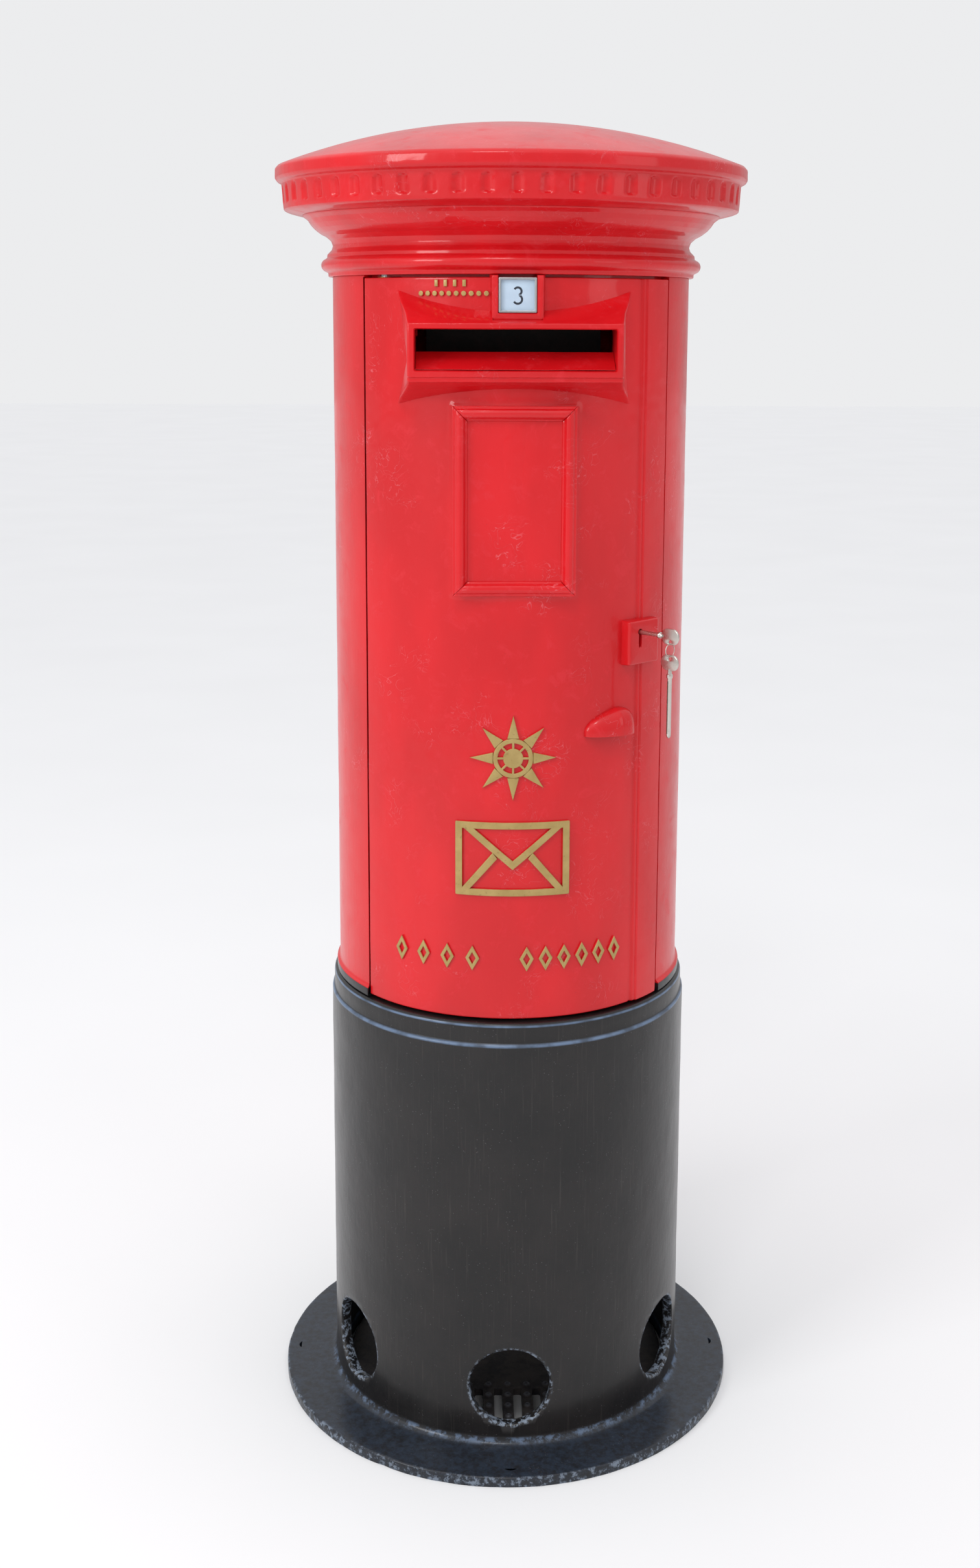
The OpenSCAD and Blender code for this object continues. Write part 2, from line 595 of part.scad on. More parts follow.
module lock_levers()
    color(brass) rotate([0, 0, lock_az]) for (i = [0:2])
        translate([0, -case_back - 2.4 - i * 2.2, 0]) rotate([90, 0, 0]) linear_extrude(1.6) difference() {
            union() {
                translate([-32, key_z - 42.5]) square([60, 18]);
                translate([14, key_z - 30]) square([14, 12]);
            }
            translate([key_x, key_z]) circle(r = bit_r + 2, $fn = 32);
            translate(lever_pivot) circle(r = 1.2, $fn = small);
        }
module lever_spring()
    color(steel) rotate([0, 0, lock_az]) translate([0, -case_back - 2.4, 0]) rotate([90, 0, 0])
        linear_extrude(6) polygon([[20, key_z - 17.8], [21, key_z - 17.8], [28.5, key_z + 10], [27,
            key_z + 15], [14, key_z + 16],
            [14, key_z + 15], [26, key_z + 14], [27, key_z + 10]]);

module lock_bolt()
    color(steel) rotate([0, 0, lock_az]) difference() {
        translate([-30, -plate_front, key_z - 34]) cube([82, plate_front - plate_back, 26]);
        translate([key_x - 4, -plate_front - 1, key_z - 15]) cube([10.5, 12, 20]);
    }

module bow(width, height)
    rotate([0, 90, 0]) translate([0, 0, -1.3]) linear_extrude(2.6) difference() {
        union() {
            translate([0, (width - height) / 2]) circle(d = height, $fn = small * 2);
            translate([0, -(width - height) / 2]) circle(d = height, $fn = small * 2);
            translate([-height / 2, -(width - height) / 2]) square([height, width - height]);
        }
        children();
    }
module door_key()
    color(steel) {
        difference() {
            at_key(bow_y) rotate([90, 0, 0]) bow(29, 21) translate([0, -ring_hole_drop])
                circle(r = ring_hole_r, $fn = small);
            at_key(bow_y) translate([0, 0, -ring_hole_drop]) rotate([0, 90, 0]) translate([0, 0, -5])
                cylinder(r = ring_hole_r, h = 10, $fn = small);
        }
        at_key(case_back + 2) outward(stem_r, bow_y - 9 - case_back - 2);
        at_key(case_back + 2) translate([-1.2, -14.5, -bit_r]) cube([2.4, 14.5, bit_r - 1]);
        at_key(bow_y - 12) outward(4.2, 5);
    }
module key_ring()
    color(steel) rotate([0, 0, lock_az]) translate([key_x, -bow_y, key_ring_z]) rotate([90, 0, 0])
        rotate_extrude($fn = 64) translate([key_ring_r, 0]) circle(r = wire_r, $fn = 16);
stem_len = 96;
module spare_key()
    color(steel) rotate([0, 0, lock_az]) translate([key_x, -bow_y, spare_z]) difference() {
        union() {
            bow(29, 21);
            translate([0, 0, -stem_len]) cylinder(r = 3.2, h = stem_len - 8, $fn = small);
            translate([0, 0, -stem_len]) sphere(r = 3.2, $fn = small);
            translate([0, 0, -16]) cylinder(r = 4.2, h = 6, $fn = small);
        }
        translate([0, 0, spare_hole_z - spare_z]) rotate([0, 90, 0]) translate([0, 0, -5])
            cylinder(r = ring_hole_r, h = 10, $fn = small);
    }

// ---- Pull and ornaments ----

pull_az = 31.5;
pull_z = 1002;
pull_half = 38;
pull_out = 21;
pull_rise = 35;
module pull_shell(half, out, rise)
    intersection() {
        translate([0, 0, 0]) scale([half, out, rise]) sphere(r = 1, $fn = 40);
        translate([-100, -100, 0]) cube([200, 200, 100]);
    }
module door_pull()
    color(red) difference() {
        at(pull_az, barrel_r - 1, pull_z) difference() {
            pull_shell(pull_half, pull_out + 1, pull_rise);
            translate([0, 0, -0.1]) pull_shell(pull_half - 6, pull_out - 5, pull_rise - 7);
        }
        cylinder(r = barrel_r, h = 2000, $fn = exact);
    }

rosette_z = 978;
rosette_rad = 57;
module rosette()
    color(gold) raised(rosette_z, barrel_r, barrel_r + 4) {
        difference() {
            circle(r = 26, $fn = 48);
            circle(r = 20, $fn = 48);
        }
        circle(r = 13, $fn = 36);
        for (i = [0:7]) rotate(45 * i) {
            polygon([[-8, 25], [8, 25], [0, rosette_rad]]);
            translate([-1.5, 12]) square([3, 9]);
        }
    }
badge_z = 843;
badge_w = 150;
badge_h = 100;
band = 9;
module letter_badge()
    color(gold) raised(badge_z, barrel_r, barrel_r + 4) {
        difference() {
            square([badge_w, badge_h], center = true);
            square([badge_w - 2 * band, badge_h - 2 * band], center = true);
        }
        for (s = [-1, 1]) {
            polygon([[s * badge_w / 2, badge_h / 2], [s * (badge_w / 2 - 14), badge_h / 2], [0, -2], [0,
                -14]]);
            polygon([[s * badge_w / 2, -badge_h / 2], [s * (badge_w / 2 - 12), -badge_h / 2], [s * 20, 2],
                     [s * 26, 10]]);
        }
    }
module lozenge(w, h) polygon([[-w / 2, 0], [0, -h / 2], [w / 2, 0], [0, h / 2]]);
plaque_z = 707.5;
plaque_w = 19;
plaque_h = 34;
module plaques(count, az0, az1)
    for (i = [0:count - 1]) let (az = az0 + (az1 - az0) * i / (count - 1)) rotate([0, 0, az])
        raised(plaque_z, barrel_r, barrel_r + 3.4) difference() {
            lozenge(plaque_w, plaque_h);
            lozenge(plaque_w - 10, plaque_h - 18);
        }
module plaques_left() color(gold) plaques(4, -36.8, -12.4);
module plaques_right() color(gold) plaques(6, 4.5, 34.2);
module top_studs()
    color(gold) {
        for (i = [0:3]) rotate([0, 0, -23.8 + 2.9 * i]) raised(1578, barrel_r, barrel_r + 2.6)
            square([5, 9], center = true);
        for (i = [0:9]) rotate([0, 0, -28.8 + 2.26 * i]) raised(1565.5, barrel_r, barrel_r + 2.6)
            circle(r = 3.6, $fn = 16);
    }

base_casting();
base_grate();
barrel_casting();
collar_casting();
cap_roof();
cap_bolts();
barrel_bolts();
barrel_nuts();
collar_bolts();
floor_plate();
letter_guard();
guard_bolts();
hinge_pins();
hinge_washers();
door_stops();
stop_screws();
lock_keep();
keep_screws();
door_casting();
closing_stile();
posting_hood();
hood_screws();
chute_plate();
hand_guard();
guard_screws();
notice_panel();
notice_rail_top();
notice_rail_bottom();
notice_rail_left();
notice_rail_right();
tablet_holder();
upper_hinge_lug();
lower_hinge_lug();
hinge_screws();
lock_boss();
lock_case();
lock_cover();
lock_levers();
lever_spring();
lock_screws();
door_pull();
rosette();
letter_badge();
plaques_left();
plaques_right();
top_studs();
lock_bolt();
door_key();
key_ring();
spare_key();
collection_tablet();
tablet_frame();
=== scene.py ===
from math import ceil, cos, degrees, hypot, pi, radians, sin, sqrt, tan

import bmesh
import bpy
from mathutils import Matrix, Vector, noise


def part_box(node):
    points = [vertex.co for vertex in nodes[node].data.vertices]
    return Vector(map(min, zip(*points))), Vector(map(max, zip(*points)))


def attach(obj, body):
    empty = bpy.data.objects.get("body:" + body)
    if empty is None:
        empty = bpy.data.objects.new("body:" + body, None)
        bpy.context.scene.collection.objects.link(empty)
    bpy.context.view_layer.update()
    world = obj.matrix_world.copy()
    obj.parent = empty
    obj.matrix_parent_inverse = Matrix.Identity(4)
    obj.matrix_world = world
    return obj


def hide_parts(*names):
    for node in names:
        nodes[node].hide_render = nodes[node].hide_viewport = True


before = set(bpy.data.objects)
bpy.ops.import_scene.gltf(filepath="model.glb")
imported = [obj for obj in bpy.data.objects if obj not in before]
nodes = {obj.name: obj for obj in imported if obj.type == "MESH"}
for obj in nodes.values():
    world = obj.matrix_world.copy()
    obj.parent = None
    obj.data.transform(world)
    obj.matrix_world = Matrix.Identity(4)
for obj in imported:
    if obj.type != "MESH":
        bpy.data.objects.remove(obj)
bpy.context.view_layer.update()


# ---- Viewpoint ----------------------------------------------------------------
# The box is seen by a standing person in front of the door and a little to its left,
# with the eye level with the posting slot and looking slightly down.

eye_azimuth = radians(-1.4)
eye_distance = 2.5244
eye_height = 1.5365
look_down = radians(9.861)
head_tilt = radians(0.278)

lens = bpy.data.cameras.new("lens")
lens.sensor_width = 36
lens.lens = 41.85
lens.shift_x = -0.0122
lens.shift_y = -0.0955
lens.clip_end = 60
camera = bpy.data.objects.new("camera", lens)
camera.matrix_world = (
    Matrix.Rotation(eye_azimuth, 4, "Z")
    @ Matrix.Translation((0, -eye_distance, eye_height))
    @ Matrix.Rotation(pi / 2 - look_down, 4, "X")
    @ Matrix.Rotation(head_tilt, 4, "Z")
)
bpy.context.scene.collection.objects.link(camera)
bpy.context.scene.camera = camera


# ---- Foot ---------------------------------------------------------------------
# The foot is one iron casting, a drum with six round holes that stands on a bolting flange.
# It comes lumpy from the sand mould with soft edges, and is brushed with satin black paint.

def box(node):
    """The lowest and highest corners of a CAD node, in millimetres."""
    return [corner * 1000 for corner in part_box(node)]


def polar(radius, azimuth, z):
    """The point at an azimuth in degrees, which is 0 at the front and grows to the right."""
    return Vector((radius * sin(radians(azimuth)), -radius * cos(radians(azimuth)), z))


def lumps(point, size, seed=0):
    """Smooth unevenness from -1 to 1, whose bumps are about that many millimetres across."""
    return noise.noise(Vector(point) / size + Vector((seed * 17.3, seed * 5.1, seed * 9.7)))


def steps(low, high, pitch):
    """Even stops from low to high, no further apart than pitch."""
    count = max(1, ceil(abs(high - low) / pitch))
    return [low + (high - low) * i / count for i in range(count + 1)]


def rounded(corners, pitch=1000, turns=4, parts=None):
    """A closed outline through (x, y, radius) corners, each turned by an arc of its radius.
    Its straight runs are split by pitch, or each into the same number of parts."""
    outline = []
    for i, (x, y, radius) in enumerate(corners):
        corner = Vector((x, y))
        back = (Vector(corners[i - 1][:2]) - corner).normalized()
        ahead = (Vector(corners[(i + 1) % len(corners)][:2]) - corner).normalized()
        reach = radius / max(tan(back.angle(ahead) / 2), 0.05)
        for t in [k / turns for k in range(turns + 1)] if radius else [0]:
            arc = (1 - t) ** 2 * back * reach + t * t * ahead * reach
            outline.append(corner + arc)
    filled = []
    for a, b in zip(outline, outline[1:] + outline[:1]):
        share = 1 / parts if parts else pitch / max((b - a).length, 0.01)
        filled += [a.lerp(b, t) for t in steps(0, 1, share)[:-1]]
    return filled


def loft(bm, sections, ring=False):
    """Skins closed sections of equal length; a ring joins the last to the first."""
    loops = [[bm.verts.new(point) for point in section] for section in sections]
    for a, b in zip(loops, loops[1:] + (loops[:1] if ring else [])):
        for i in range(len(a)):
            j = (i + 1) % len(a)
            bm.faces.new((a[i], a[j], b[j], b[i]))
    if not ring:
        bm.faces.new(loops[0])
        bm.faces.new(loops[-1])


def turn(bm, outline, azimuths, relief):
    """Turns an outline of radius and height about the axis; relief lifts it, in millimetres."""
    sections = []
    for azimuth in azimuths:
        sections.append([polar(r + relief(r, azimuth, z), azimuth, z) for r, z in outline])
    loft(bm, sections, ring=True)


def whole_turn(count):
    return [360 * i / count for i in range(count)]


def made(name, bm, crease=38):
    """A piece from a mesh in millimetres, smooth but for edges sharper than crease degrees."""
    bmesh.ops.recalc_face_normals(bm, faces=bm.faces)
    mesh = bpy.data.meshes.new(name)
    bm.to_mesh(mesh)
    bm.free()
    mesh.transform(Matrix.Scale(0.001, 4))
    mesh.shade_smooth()
    mesh.set_sharp_from_angle(angle=radians(crease))
    piece = bpy.data.objects.new(name, mesh)
    bpy.context.scene.collection.objects.link(piece)
    return piece


def settle(piece):
    """Applies the piece's modifiers to its mesh."""
    bpy.context.view_layer.update()
    evaluated = piece.evaluated_get(bpy.context.evaluated_depsgraph_get())
    mesh = bpy.data.meshes.new_from_object(evaluated)
    piece.modifiers.clear()
    piece.data = mesh
    mesh.shade_smooth()
    mesh.set_sharp_from_angle(angle=radians(38))


def cut(piece, tools):
    """Takes one mesh of cutting tools, in millimetres, out of a piece."""
    tool = made("tool", tools)
    difference = piece.modifiers.new("cut", "BOOLEAN")
    difference.object = tool
    difference.solver = "EXACT"
    difference.use_self = False
    settle(piece)
    bpy.data.objects.remove(tool)


def drill(bm, radius, start, end, flare=0.0, sides=40):
    """Adds a round cutter along a line, wider by flare at its start."""
    along = end - start
    turn_to = along.to_track_quat("Z", "Y").to_matrix()
    stops = [(0.0, flare), (min(2 * flare, along.length) + 0.01, 0.0), (along.length, 0.0)]
    sections = []
    for depth, wider in stops:
        rim = [Vector((cos(a), sin(a), 0)) * (radius + wider) for a in map(radians, whole_turn(sides))]
        sections.append([start + turn_to @ (p + Vector((0, 0, depth))) for p in rim])
    loft(bm, sections)


class Shade:
    """One socket of a material's nodes, which Python's operators work on."""

    def __init__(self, tree, socket):
        self.tree = tree
        self.socket = socket

    def node(self, kind, settings, sockets, out=0):
        """Adds a node: its settings first, then the value or the link of each socket."""
        new = self.tree.nodes.new("ShaderNode" + kind)
        for setting, value in settings.items():
            if setting == "stops":
                while len(new.color_ramp.elements) < len(value):
                    new.color_ramp.elements.new(1.0)
                for element, (position, colour) in zip(new.color_ramp.elements, value):
                    element.position = position
                    element.color = colour
            else:
                setattr(new, setting, value)
        for socket, value in sockets.items():
            if isinstance(value, Shade):
                self.tree.links.new(value.socket, new.inputs[socket])
            else:
                new.inputs[socket].default_value = value
        return Shade(self.tree, new.outputs[out])

    def math(self, operation, *values):
        return self.node("Math", {"operation": operation}, dict(enumerate(values)))

    def __add__(self, other):
        return self.math("ADD", self, other)

    def __sub__(self, other):
        return self.math("SUBTRACT", self, other)

    def __rsub__(self, other):
        return self.math("SUBTRACT", other, self)

    def __mul__(self, other):
        return self.math("MULTIPLY", self, other)

    def __truediv__(self, other):
        return self.math("DIVIDE", self, other)

    def __abs__(self):
        return self.math("ABSOLUTE", self)

    __radd__ = __add__
    __rmul__ = __mul__

    def top(self, other):
        return self.math("MAXIMUM", self, other)

    def rise(self, low, high):
        """0 below low, 1 above high, and smooth between them."""
        return self.node("MapRange", {"interpolation_type": "SMOOTHSTEP"},
                         {"Value": self, "From Min": low, "From Max": high}, "Result")

    def fall(self, low, high):
        return 1 - self.rise(low, high)

    def tint(self, low, high):
        """The colour low where this is 0, and high where it is 1."""
        return self.node("Mix", {"data_type": "RGBA"}, {0: self, 6: low, 7: high}, 2)

    def stretched(self, x, y, z):
        """A point with each axis scaled on its own."""
        return self.node("VectorMath", {"operation": "MULTIPLY"}, {0: self, 1: (x, y, z)})

    def part(self, axis):
        return self.node("SeparateXYZ", {}, {"Vector": self}, axis)

    def grain(self, size, detail=2.0, roughness=0.5, warp=0.0):
        """Noise from 0 to 1 whose bumps are about size millimetres across."""
        return self.node("TexNoise", {}, {"Vector": self, "Scale": 1 / size, "Detail": detail,
                                          "Roughness": roughness, "Distortion": warp}, "Fac")

    def cells(self, size, feature="F1", out="Distance"):
        return self.node("TexVoronoi", {"feature": feature}, {"Vector": self, "Scale": 1 / size}, out)


class Finish:
    """A material of one Principled shader. Its place is the point on the piece, in millimetres."""

    def __init__(self, name, **constants):
        self.material = bpy.data.materials.new(name)
        self.material.use_nodes = True
        self.tree = self.material.node_tree
        self.shader = self.tree.nodes["Principled BSDF"]
        for socket, value in constants.items():
            self.shader.inputs[socket.replace("_", " ")].default_value = value
        point = Shade(self.tree, self.tree.nodes.new("ShaderNodeTexCoord").outputs["Object"])
        self.place = point.stretched(1000, 1000, 1000)

    def vary(self, **sockets):
        for socket, value in sockets.items():
            self.tree.links.new(value.socket, self.shader.inputs[socket.replace("_", " ")])

    def bump(self, height, strength=1.0):
        """Raises the surface by height, in millimetres."""
        normal = height.node("Bump", {}, {"Height": height, "Strength": strength, "Distance": 0.001})
        self.vary(Normal=normal)

    def put_on(self, *pieces):
        for piece in pieces:
            piece.data.materials.clear()
            piece.data.materials.append(self.material)


def rgb(red, green, blue):
    """A linear colour from the 0 to 255 values of a colour chart."""
    def linear(value):
        share = value / 255
        return share / 12.92 if share <= 0.04045 else ((share + 0.055) / 1.055) ** 2.4
    return (linear(red), linear(green), linear(blue), 1.0)


def add_black_paint():
    paint = Finish("satin_black_paint", Specular_IOR_Level=0.22, Coat_Roughness=0.2)
    place = paint.place
    x, y, z = (place.part(axis) for axis in "XYZ")
    radius = (x * x + y * y).math("SQRT", x * x + y * y)
    clouds = place.grain(90, 4.0, 0.6)
    dust = place.grain(1.6, 2.0, 0.7)
    specks = place.cells(5.0).fall(0.05, 0.17) * place.grain(30, 2.0).rise(0.45, 0.62)
    flange = z.fall(flange_t + 1, flange_t + 14)
    turn_az = x.math("ARCTAN2", x, -1 * y) * degrees(1) / 60
    nearest = abs(turn_az - turn_az.math("ROUND", turn_az)) * 60 * radians(1) * radius
    rim_gap = (nearest * nearest + (z - window_z) * (z - window_z)).math(
        "SQRT", nearest * nearest + (z - window_z) * (z - window_z)) - window_r
    window_rim = abs(rim_gap - 1.0).fall(1.0, 5.0) * place.grain(7, 4.0, 0.7).rise(0.47, 0.6)
    flange_rim = radius.rise(flange_r - 5, flange_r - 0.5) * place.grain(9, 4.0, 0.7).rise(0.5, 0.62)
    scuffed = window_rim.top(flange_rim * 0.8)
    base = clouds.rise(0.3, 0.7).tint(rgb(15, 14, 15), rgb(27, 24, 24))
    # Painted reflection: the flange zone is tinted blue-grey in mottled patches, standing in for the sky's
    # sheen on its top.
    base = (flange * (place.grain(9, 5.0, 0.7).rise(0.3, 0.7) * 0.7 + 0.15)).tint(base, rgb(42, 52, 66))
    # Painted highlights: pale blue bands along the step at step_z, the shoulder's top edge and the fillet
    # over the flange stand in for the sky's glint on these edges.
    step_highlight = abs(z - step_z).fall(0.6, 3.2) * (place.grain(24, 3.0).rise(0.3, 0.6) * 0.6 + 0.4)
    shoulder = abs(z - foot_top + 5).fall(0.3, 2.2) * (place.grain(28, 2.0).rise(0.3, 0.6) * 0.6 + 0.4)
    fillet_highlight = abs(z - flange_t - 7).fall(1.0, 5.5) * place.grain(13, 4.0, 0.7).rise(0.45, 0.62)
    edge_wear_and_highlight = step_highlight.top(shoulder).top(fillet_highlight * 0.7)
    streaks = place.stretched(1, 1, 0.03).grain(2.4, 3.0, 0.6).rise(0.56, 0.8)
    base = (streaks * 0.22).tint(base, rgb(84, 78, 74))
    base = (specks * 0.45).tint(base, rgb(108, 106, 108))
    base = (dust.rise(0.62, 0.8) * 0.2).tint(base, rgb(90, 86, 84))
    # Painted highlight: the edge bands are tinted pale blue.
    base = (edge_wear_and_highlight * 0.75).tint(base, rgb(112, 134, 164))
    base = (scuffed * 0.8).tint(base, rgb(140, 152, 168))
    paint.vary(Base_Color=base,
               Roughness=0.28 + clouds * 0.16 + dust * 0.1 + scuffed * 0.2 + flange * 0.12,
               Coat_Weight=0.42 - scuffed * 0.2)
    paint.bump(place.grain(34, 3.0) * 0.9 + place.stretched(1, 1, 0.35).grain(6, 3.0) * 0.22
               + place.grain(1.4, 2.0) * 0.05 + scuffed * -0.25 + specks * 0.08)
    return paint


flange_r = box("base_casting")[1].x
foot_top = box("base_casting")[1].z
flange_t = 14
step_z = 590
foot_r = 253
foot_wall = 15
window_r = 54.5
window_z = 98.5
foundation_r = 300
joint_bolt_r = 216
joint_bolt_az = 45

foot = bmesh.new()
turn(foot, rounded([
    (foot_r - foot_wall, 0, 0.5), (flange_r - 0.6, 0, 0.5), (flange_r - 0.6, flange_t, 3.5),
    (foot_r, flange_t + 1.5, 13), (foot_r, step_z, 3), (foot_r - 3.2, step_z + 3, 1),
    (foot_r - 3.2, foot_top - 0.8, 7),
    (190, foot_top, 0.5), (190, foot_top - 18, 1), (foot_r - foot_wall - 12, foot_top - 18, 1),
    (foot_r - foot_wall, foot_top - 42, 2)], pitch=14), whole_turn(320),
    lambda r, azimuth, z: 0 if z > foot_top - 1 or z < 0.5 and r < 300 else
    0.45 * lumps(polar(r, azimuth, z), 38) + 0.2 * lumps(polar(r, azimuth, z), 11, 1) - 0.5
    - (2.4 * max(0, lumps(polar(r, azimuth, 0), 21, 2) - 0.28) if r > flange_r - 6 else 0))
foot = made("foot", foot)

openings = bmesh.new()
for window in range(6):
    sections = []
    for inward, wider in [(-9, 9), (-0.5, 4.2), (0.9, 2.0), (2.6, 0.7), (5, 0), (13, 0), (15.5, 1.2),
                          (17.5, 4), (24, 9)]:
        rim = []
        for angle in map(radians, whole_turn(72)):
            rough = 0.7 * lumps((cos(angle) * 2, sin(angle) * 2, window), 0.8, 3)
            across = (window_r + wider + rough) * cos(angle)
            up = (window_r + wider + rough) * sin(angle)
            depth = sqrt(foot_r * foot_r - across * across) - inward
            rim.append(Matrix.Rotation(radians(60 * window), 3,
                                       "Z") @ Vector((across, -depth, window_z + up)))
        sections.append(rim)
    loft(openings, sections)
for hole in range(4):
    drill(openings, 9, polar(foundation_r, 90 * hole, flange_t + 0.4), polar(foundation_r, 90 * hole, -2),
          1.2)
cut(foot, openings)

joint_holes = bmesh.new()
for hole in range(6):
    place = polar(joint_bolt_r, 60 * hole + joint_bolt_az, 0)
    drill(joint_holes, 6.5, place + Vector((0, 0, foot_top - 25)), place + Vector((0, 0, foot_top + 5)), 0,
          20)
pin_z = (box("hinge_pins")[0], box("hinge_pins")[1])
pin_place = Vector(((pin_z[0].x + pin_z[1].x) / 2, (pin_z[0].y + pin_z[1].y) / 2, 0))
pin_r = (pin_z[1].x - pin_z[0].x) / 2
drill(joint_holes, pin_r + 0.1, pin_place + Vector((0, 0, foot_top - 12)),
      pin_place + Vector((0, 0, foot_top + 5)), 0, 28)
cut(foot, joint_holes)

black_paint = add_black_paint()
black_paint.put_on(foot)
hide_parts("base_casting")
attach(foot, "body")


# ---- Grate --------------------------------------------------------------------
# A flat iron grate lies on the ground inside the foot: bars with studs and slots between
# them at the front, and a solid plate behind. It is bare iron, dark and dusty.

grate_t = box("base_grate")[1].z - 3
grate_r = box("base_grate")[1].x
bar_pitch = 27.5
slot_width = 12
plate_edge = -96

grate = bmesh.new()
bars = bmesh.new()
turn(grate, rounded([(0.01, 0, 0), (grate_r - 0.5, 0, 1), (grate_r - 0.5, grate_t, 2), (0.01, grate_t, 0)],
                    pitch=12),
     whole_turn(160), lambda r, azimuth, z: 0)
for vertex in grate.verts:
    vertex.co.z += 0.35 * lumps(vertex.co, 16) * (vertex.co.z > 1)
for bar in range(-6, 6):
    x = (bar + 0.5) * bar_pitch
    reach = sqrt((grate_r - 10) ** 2 - (abs(x) + slot_width / 2) ** 2)
    if reach > 30 - plate_edge:
        outline = rounded([(x - slot_width / 2, -reach, 4), (x + slot_width / 2, -reach, 4),
                           (x + slot_width / 2, plate_edge - 18, 4),
                           (x - slot_width / 2, plate_edge - 18, 4)])
        middle = Vector((x, (plate_edge - 18 - reach) / 2))
        loft(bars, [[Vector((*(middle + (p - middle) * wider), z)) for p in outline]
                    for z, wider in [(-1, 1), (grate_t - 1.5, 1), (grate_t + 0.2, 1.03),
                                     (grate_t + 3, 1.05)]])
grate = made("grate", grate)
cut(grate, bars)

studs = bmesh.new()
for bar in range(-6, 7):
    for row in range(5):
        x = bar * bar_pitch
        y = plate_edge - 10 - row * 26
        if hypot(x, y) < grate_r - 12:
            sections = []
            for r, z in [(6.2, grate_t - 0.5), (5.6, grate_t + 0.5), (4.2, grate_t + 1.6),
                         (3.4, grate_t + 2.6),
                         (2.4, grate_t + 2.9), (1.6, grate_t + 2.3), (0.8, grate_t + 1.8)]:
                sections.append([Vector((x + r * cos(a), y + r * sin(a), z))
                                 for a in map(radians, whole_turn(16))])
            loft(studs, sections)
studs = made("grate_studs", studs)


def add_grate_iron():
    iron = Finish("dusty_grate_iron", Specular_IOR_Level=0.4)
    place = iron.place
    dirt = place.grain(30, 5.0, 0.65)
    grit = place.grain(3.0, 3.0, 0.7)
    raised = place.part("Z").rise(grate_t + 0.2, grate_t + 2.6)
    base = dirt.rise(0.35, 0.65).tint(rgb(48, 46, 50), rgb(84, 78, 76))
    base = (grit.rise(0.55, 0.75) * 0.5).tint(base, rgb(112, 104, 98))
    base = (raised * 0.7).tint(base, rgb(120, 122, 130))
    iron.vary(Base_Color=base, Roughness=0.5 + dirt * 0.3 - raised * 0.15, Metallic=raised * 0.35)
    iron.bump(grit * 0.25 + dirt * 0.4)
    return iron


grate_iron = add_grate_iron()
grate_iron.put_on(grate, studs)
for piece in (grate, studs):
    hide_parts("base_grate")
    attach(piece, "body")


# ---- Barrel -------------------------------------------------------------------
# The barrel is an iron tube with a bolting ring at each end and a third of its wall left out
# for the door. It is brushed with thick red gloss paint, coat upon coat.

barrel_r = 241.3
barrel_top = box("collar_casting")[0].z
inner_r = barrel_r - 12
ring_r = inner_r - 0.4
ring_in = 204
ring_t = 12
seam_az = -52.5
closing_az = 56.2
sweep_r = 32.4

barrel = bmesh.new()
turn(barrel, rounded([
    (ring_in, foot_top, 0.5), (barrel_r + 4, foot_top, 2), (barrel_r + 4, foot_top + 12.5, 3.5),
    (barrel_r - 0.3, foot_top + 15, 5), (barrel_r - 0.3, barrel_top, 0.8), (ring_in, barrel_top, 0.5),
    (ring_in, barrel_top - ring_t, 1), (inner_r, barrel_top - ring_t, 3), (inner_r, foot_top + ring_t, 3),
    (ring_in, foot_top + ring_t, 1)], pitch=16), whole_turn(288),
    lambda r, azimuth, z: 0 if r < barrel_r - 2 else
    0.3 * lumps(polar(r, azimuth, z / 2), 55) + 0.12 * lumps(polar(r, azimuth, z), 16, 1))
barrel = made("barrel", barrel)


def arc_block(bm, r0, r1, z0, z1, az0, az1, pitch=2.5):
    """Adds a plain block bent round the axis between two azimuths."""
    sections = []
    for azimuth in steps(az0, az1, pitch):
        sections.append([polar(r, azimuth, z) for r, z in [(r0, z0), (r1, z0), (r1, z1), (r0, z1)]])
    loft(bm, sections)


doorway = bmesh.new()
arc_block(doorway, ring_r, barrel_r + 20, foot_top - 1, barrel_top + 1, seam_az, closing_az + 0.45)
cut(barrel, doorway)
hollow = bmesh.new()
drill(hollow, sweep_r, pin_place + Vector((0, 0, foot_top + 2)),
      pin_place + Vector((0, 0, barrel_top - 2.5)), 0, 90)
cut(barrel, hollow)
bores = bmesh.new()
for hole in range(6):
    place = polar(joint_bolt_r, 60 * hole + joint_bolt_az, 0)
    for low in (foot_top - 1, barrel_top - 20):
        drill(bores, 6.5, place + Vector((0, 0, low)), place + Vector((0, 0, low + 22)), 0, 20)
for low in (foot_top - 1, barrel_top - 15):
    drill(bores, pin_r + 0.1, pin_place + Vector((0, 0, low)), pin_place + Vector((0, 0, low + 18)), 0, 28)
cut(barrel, bores)


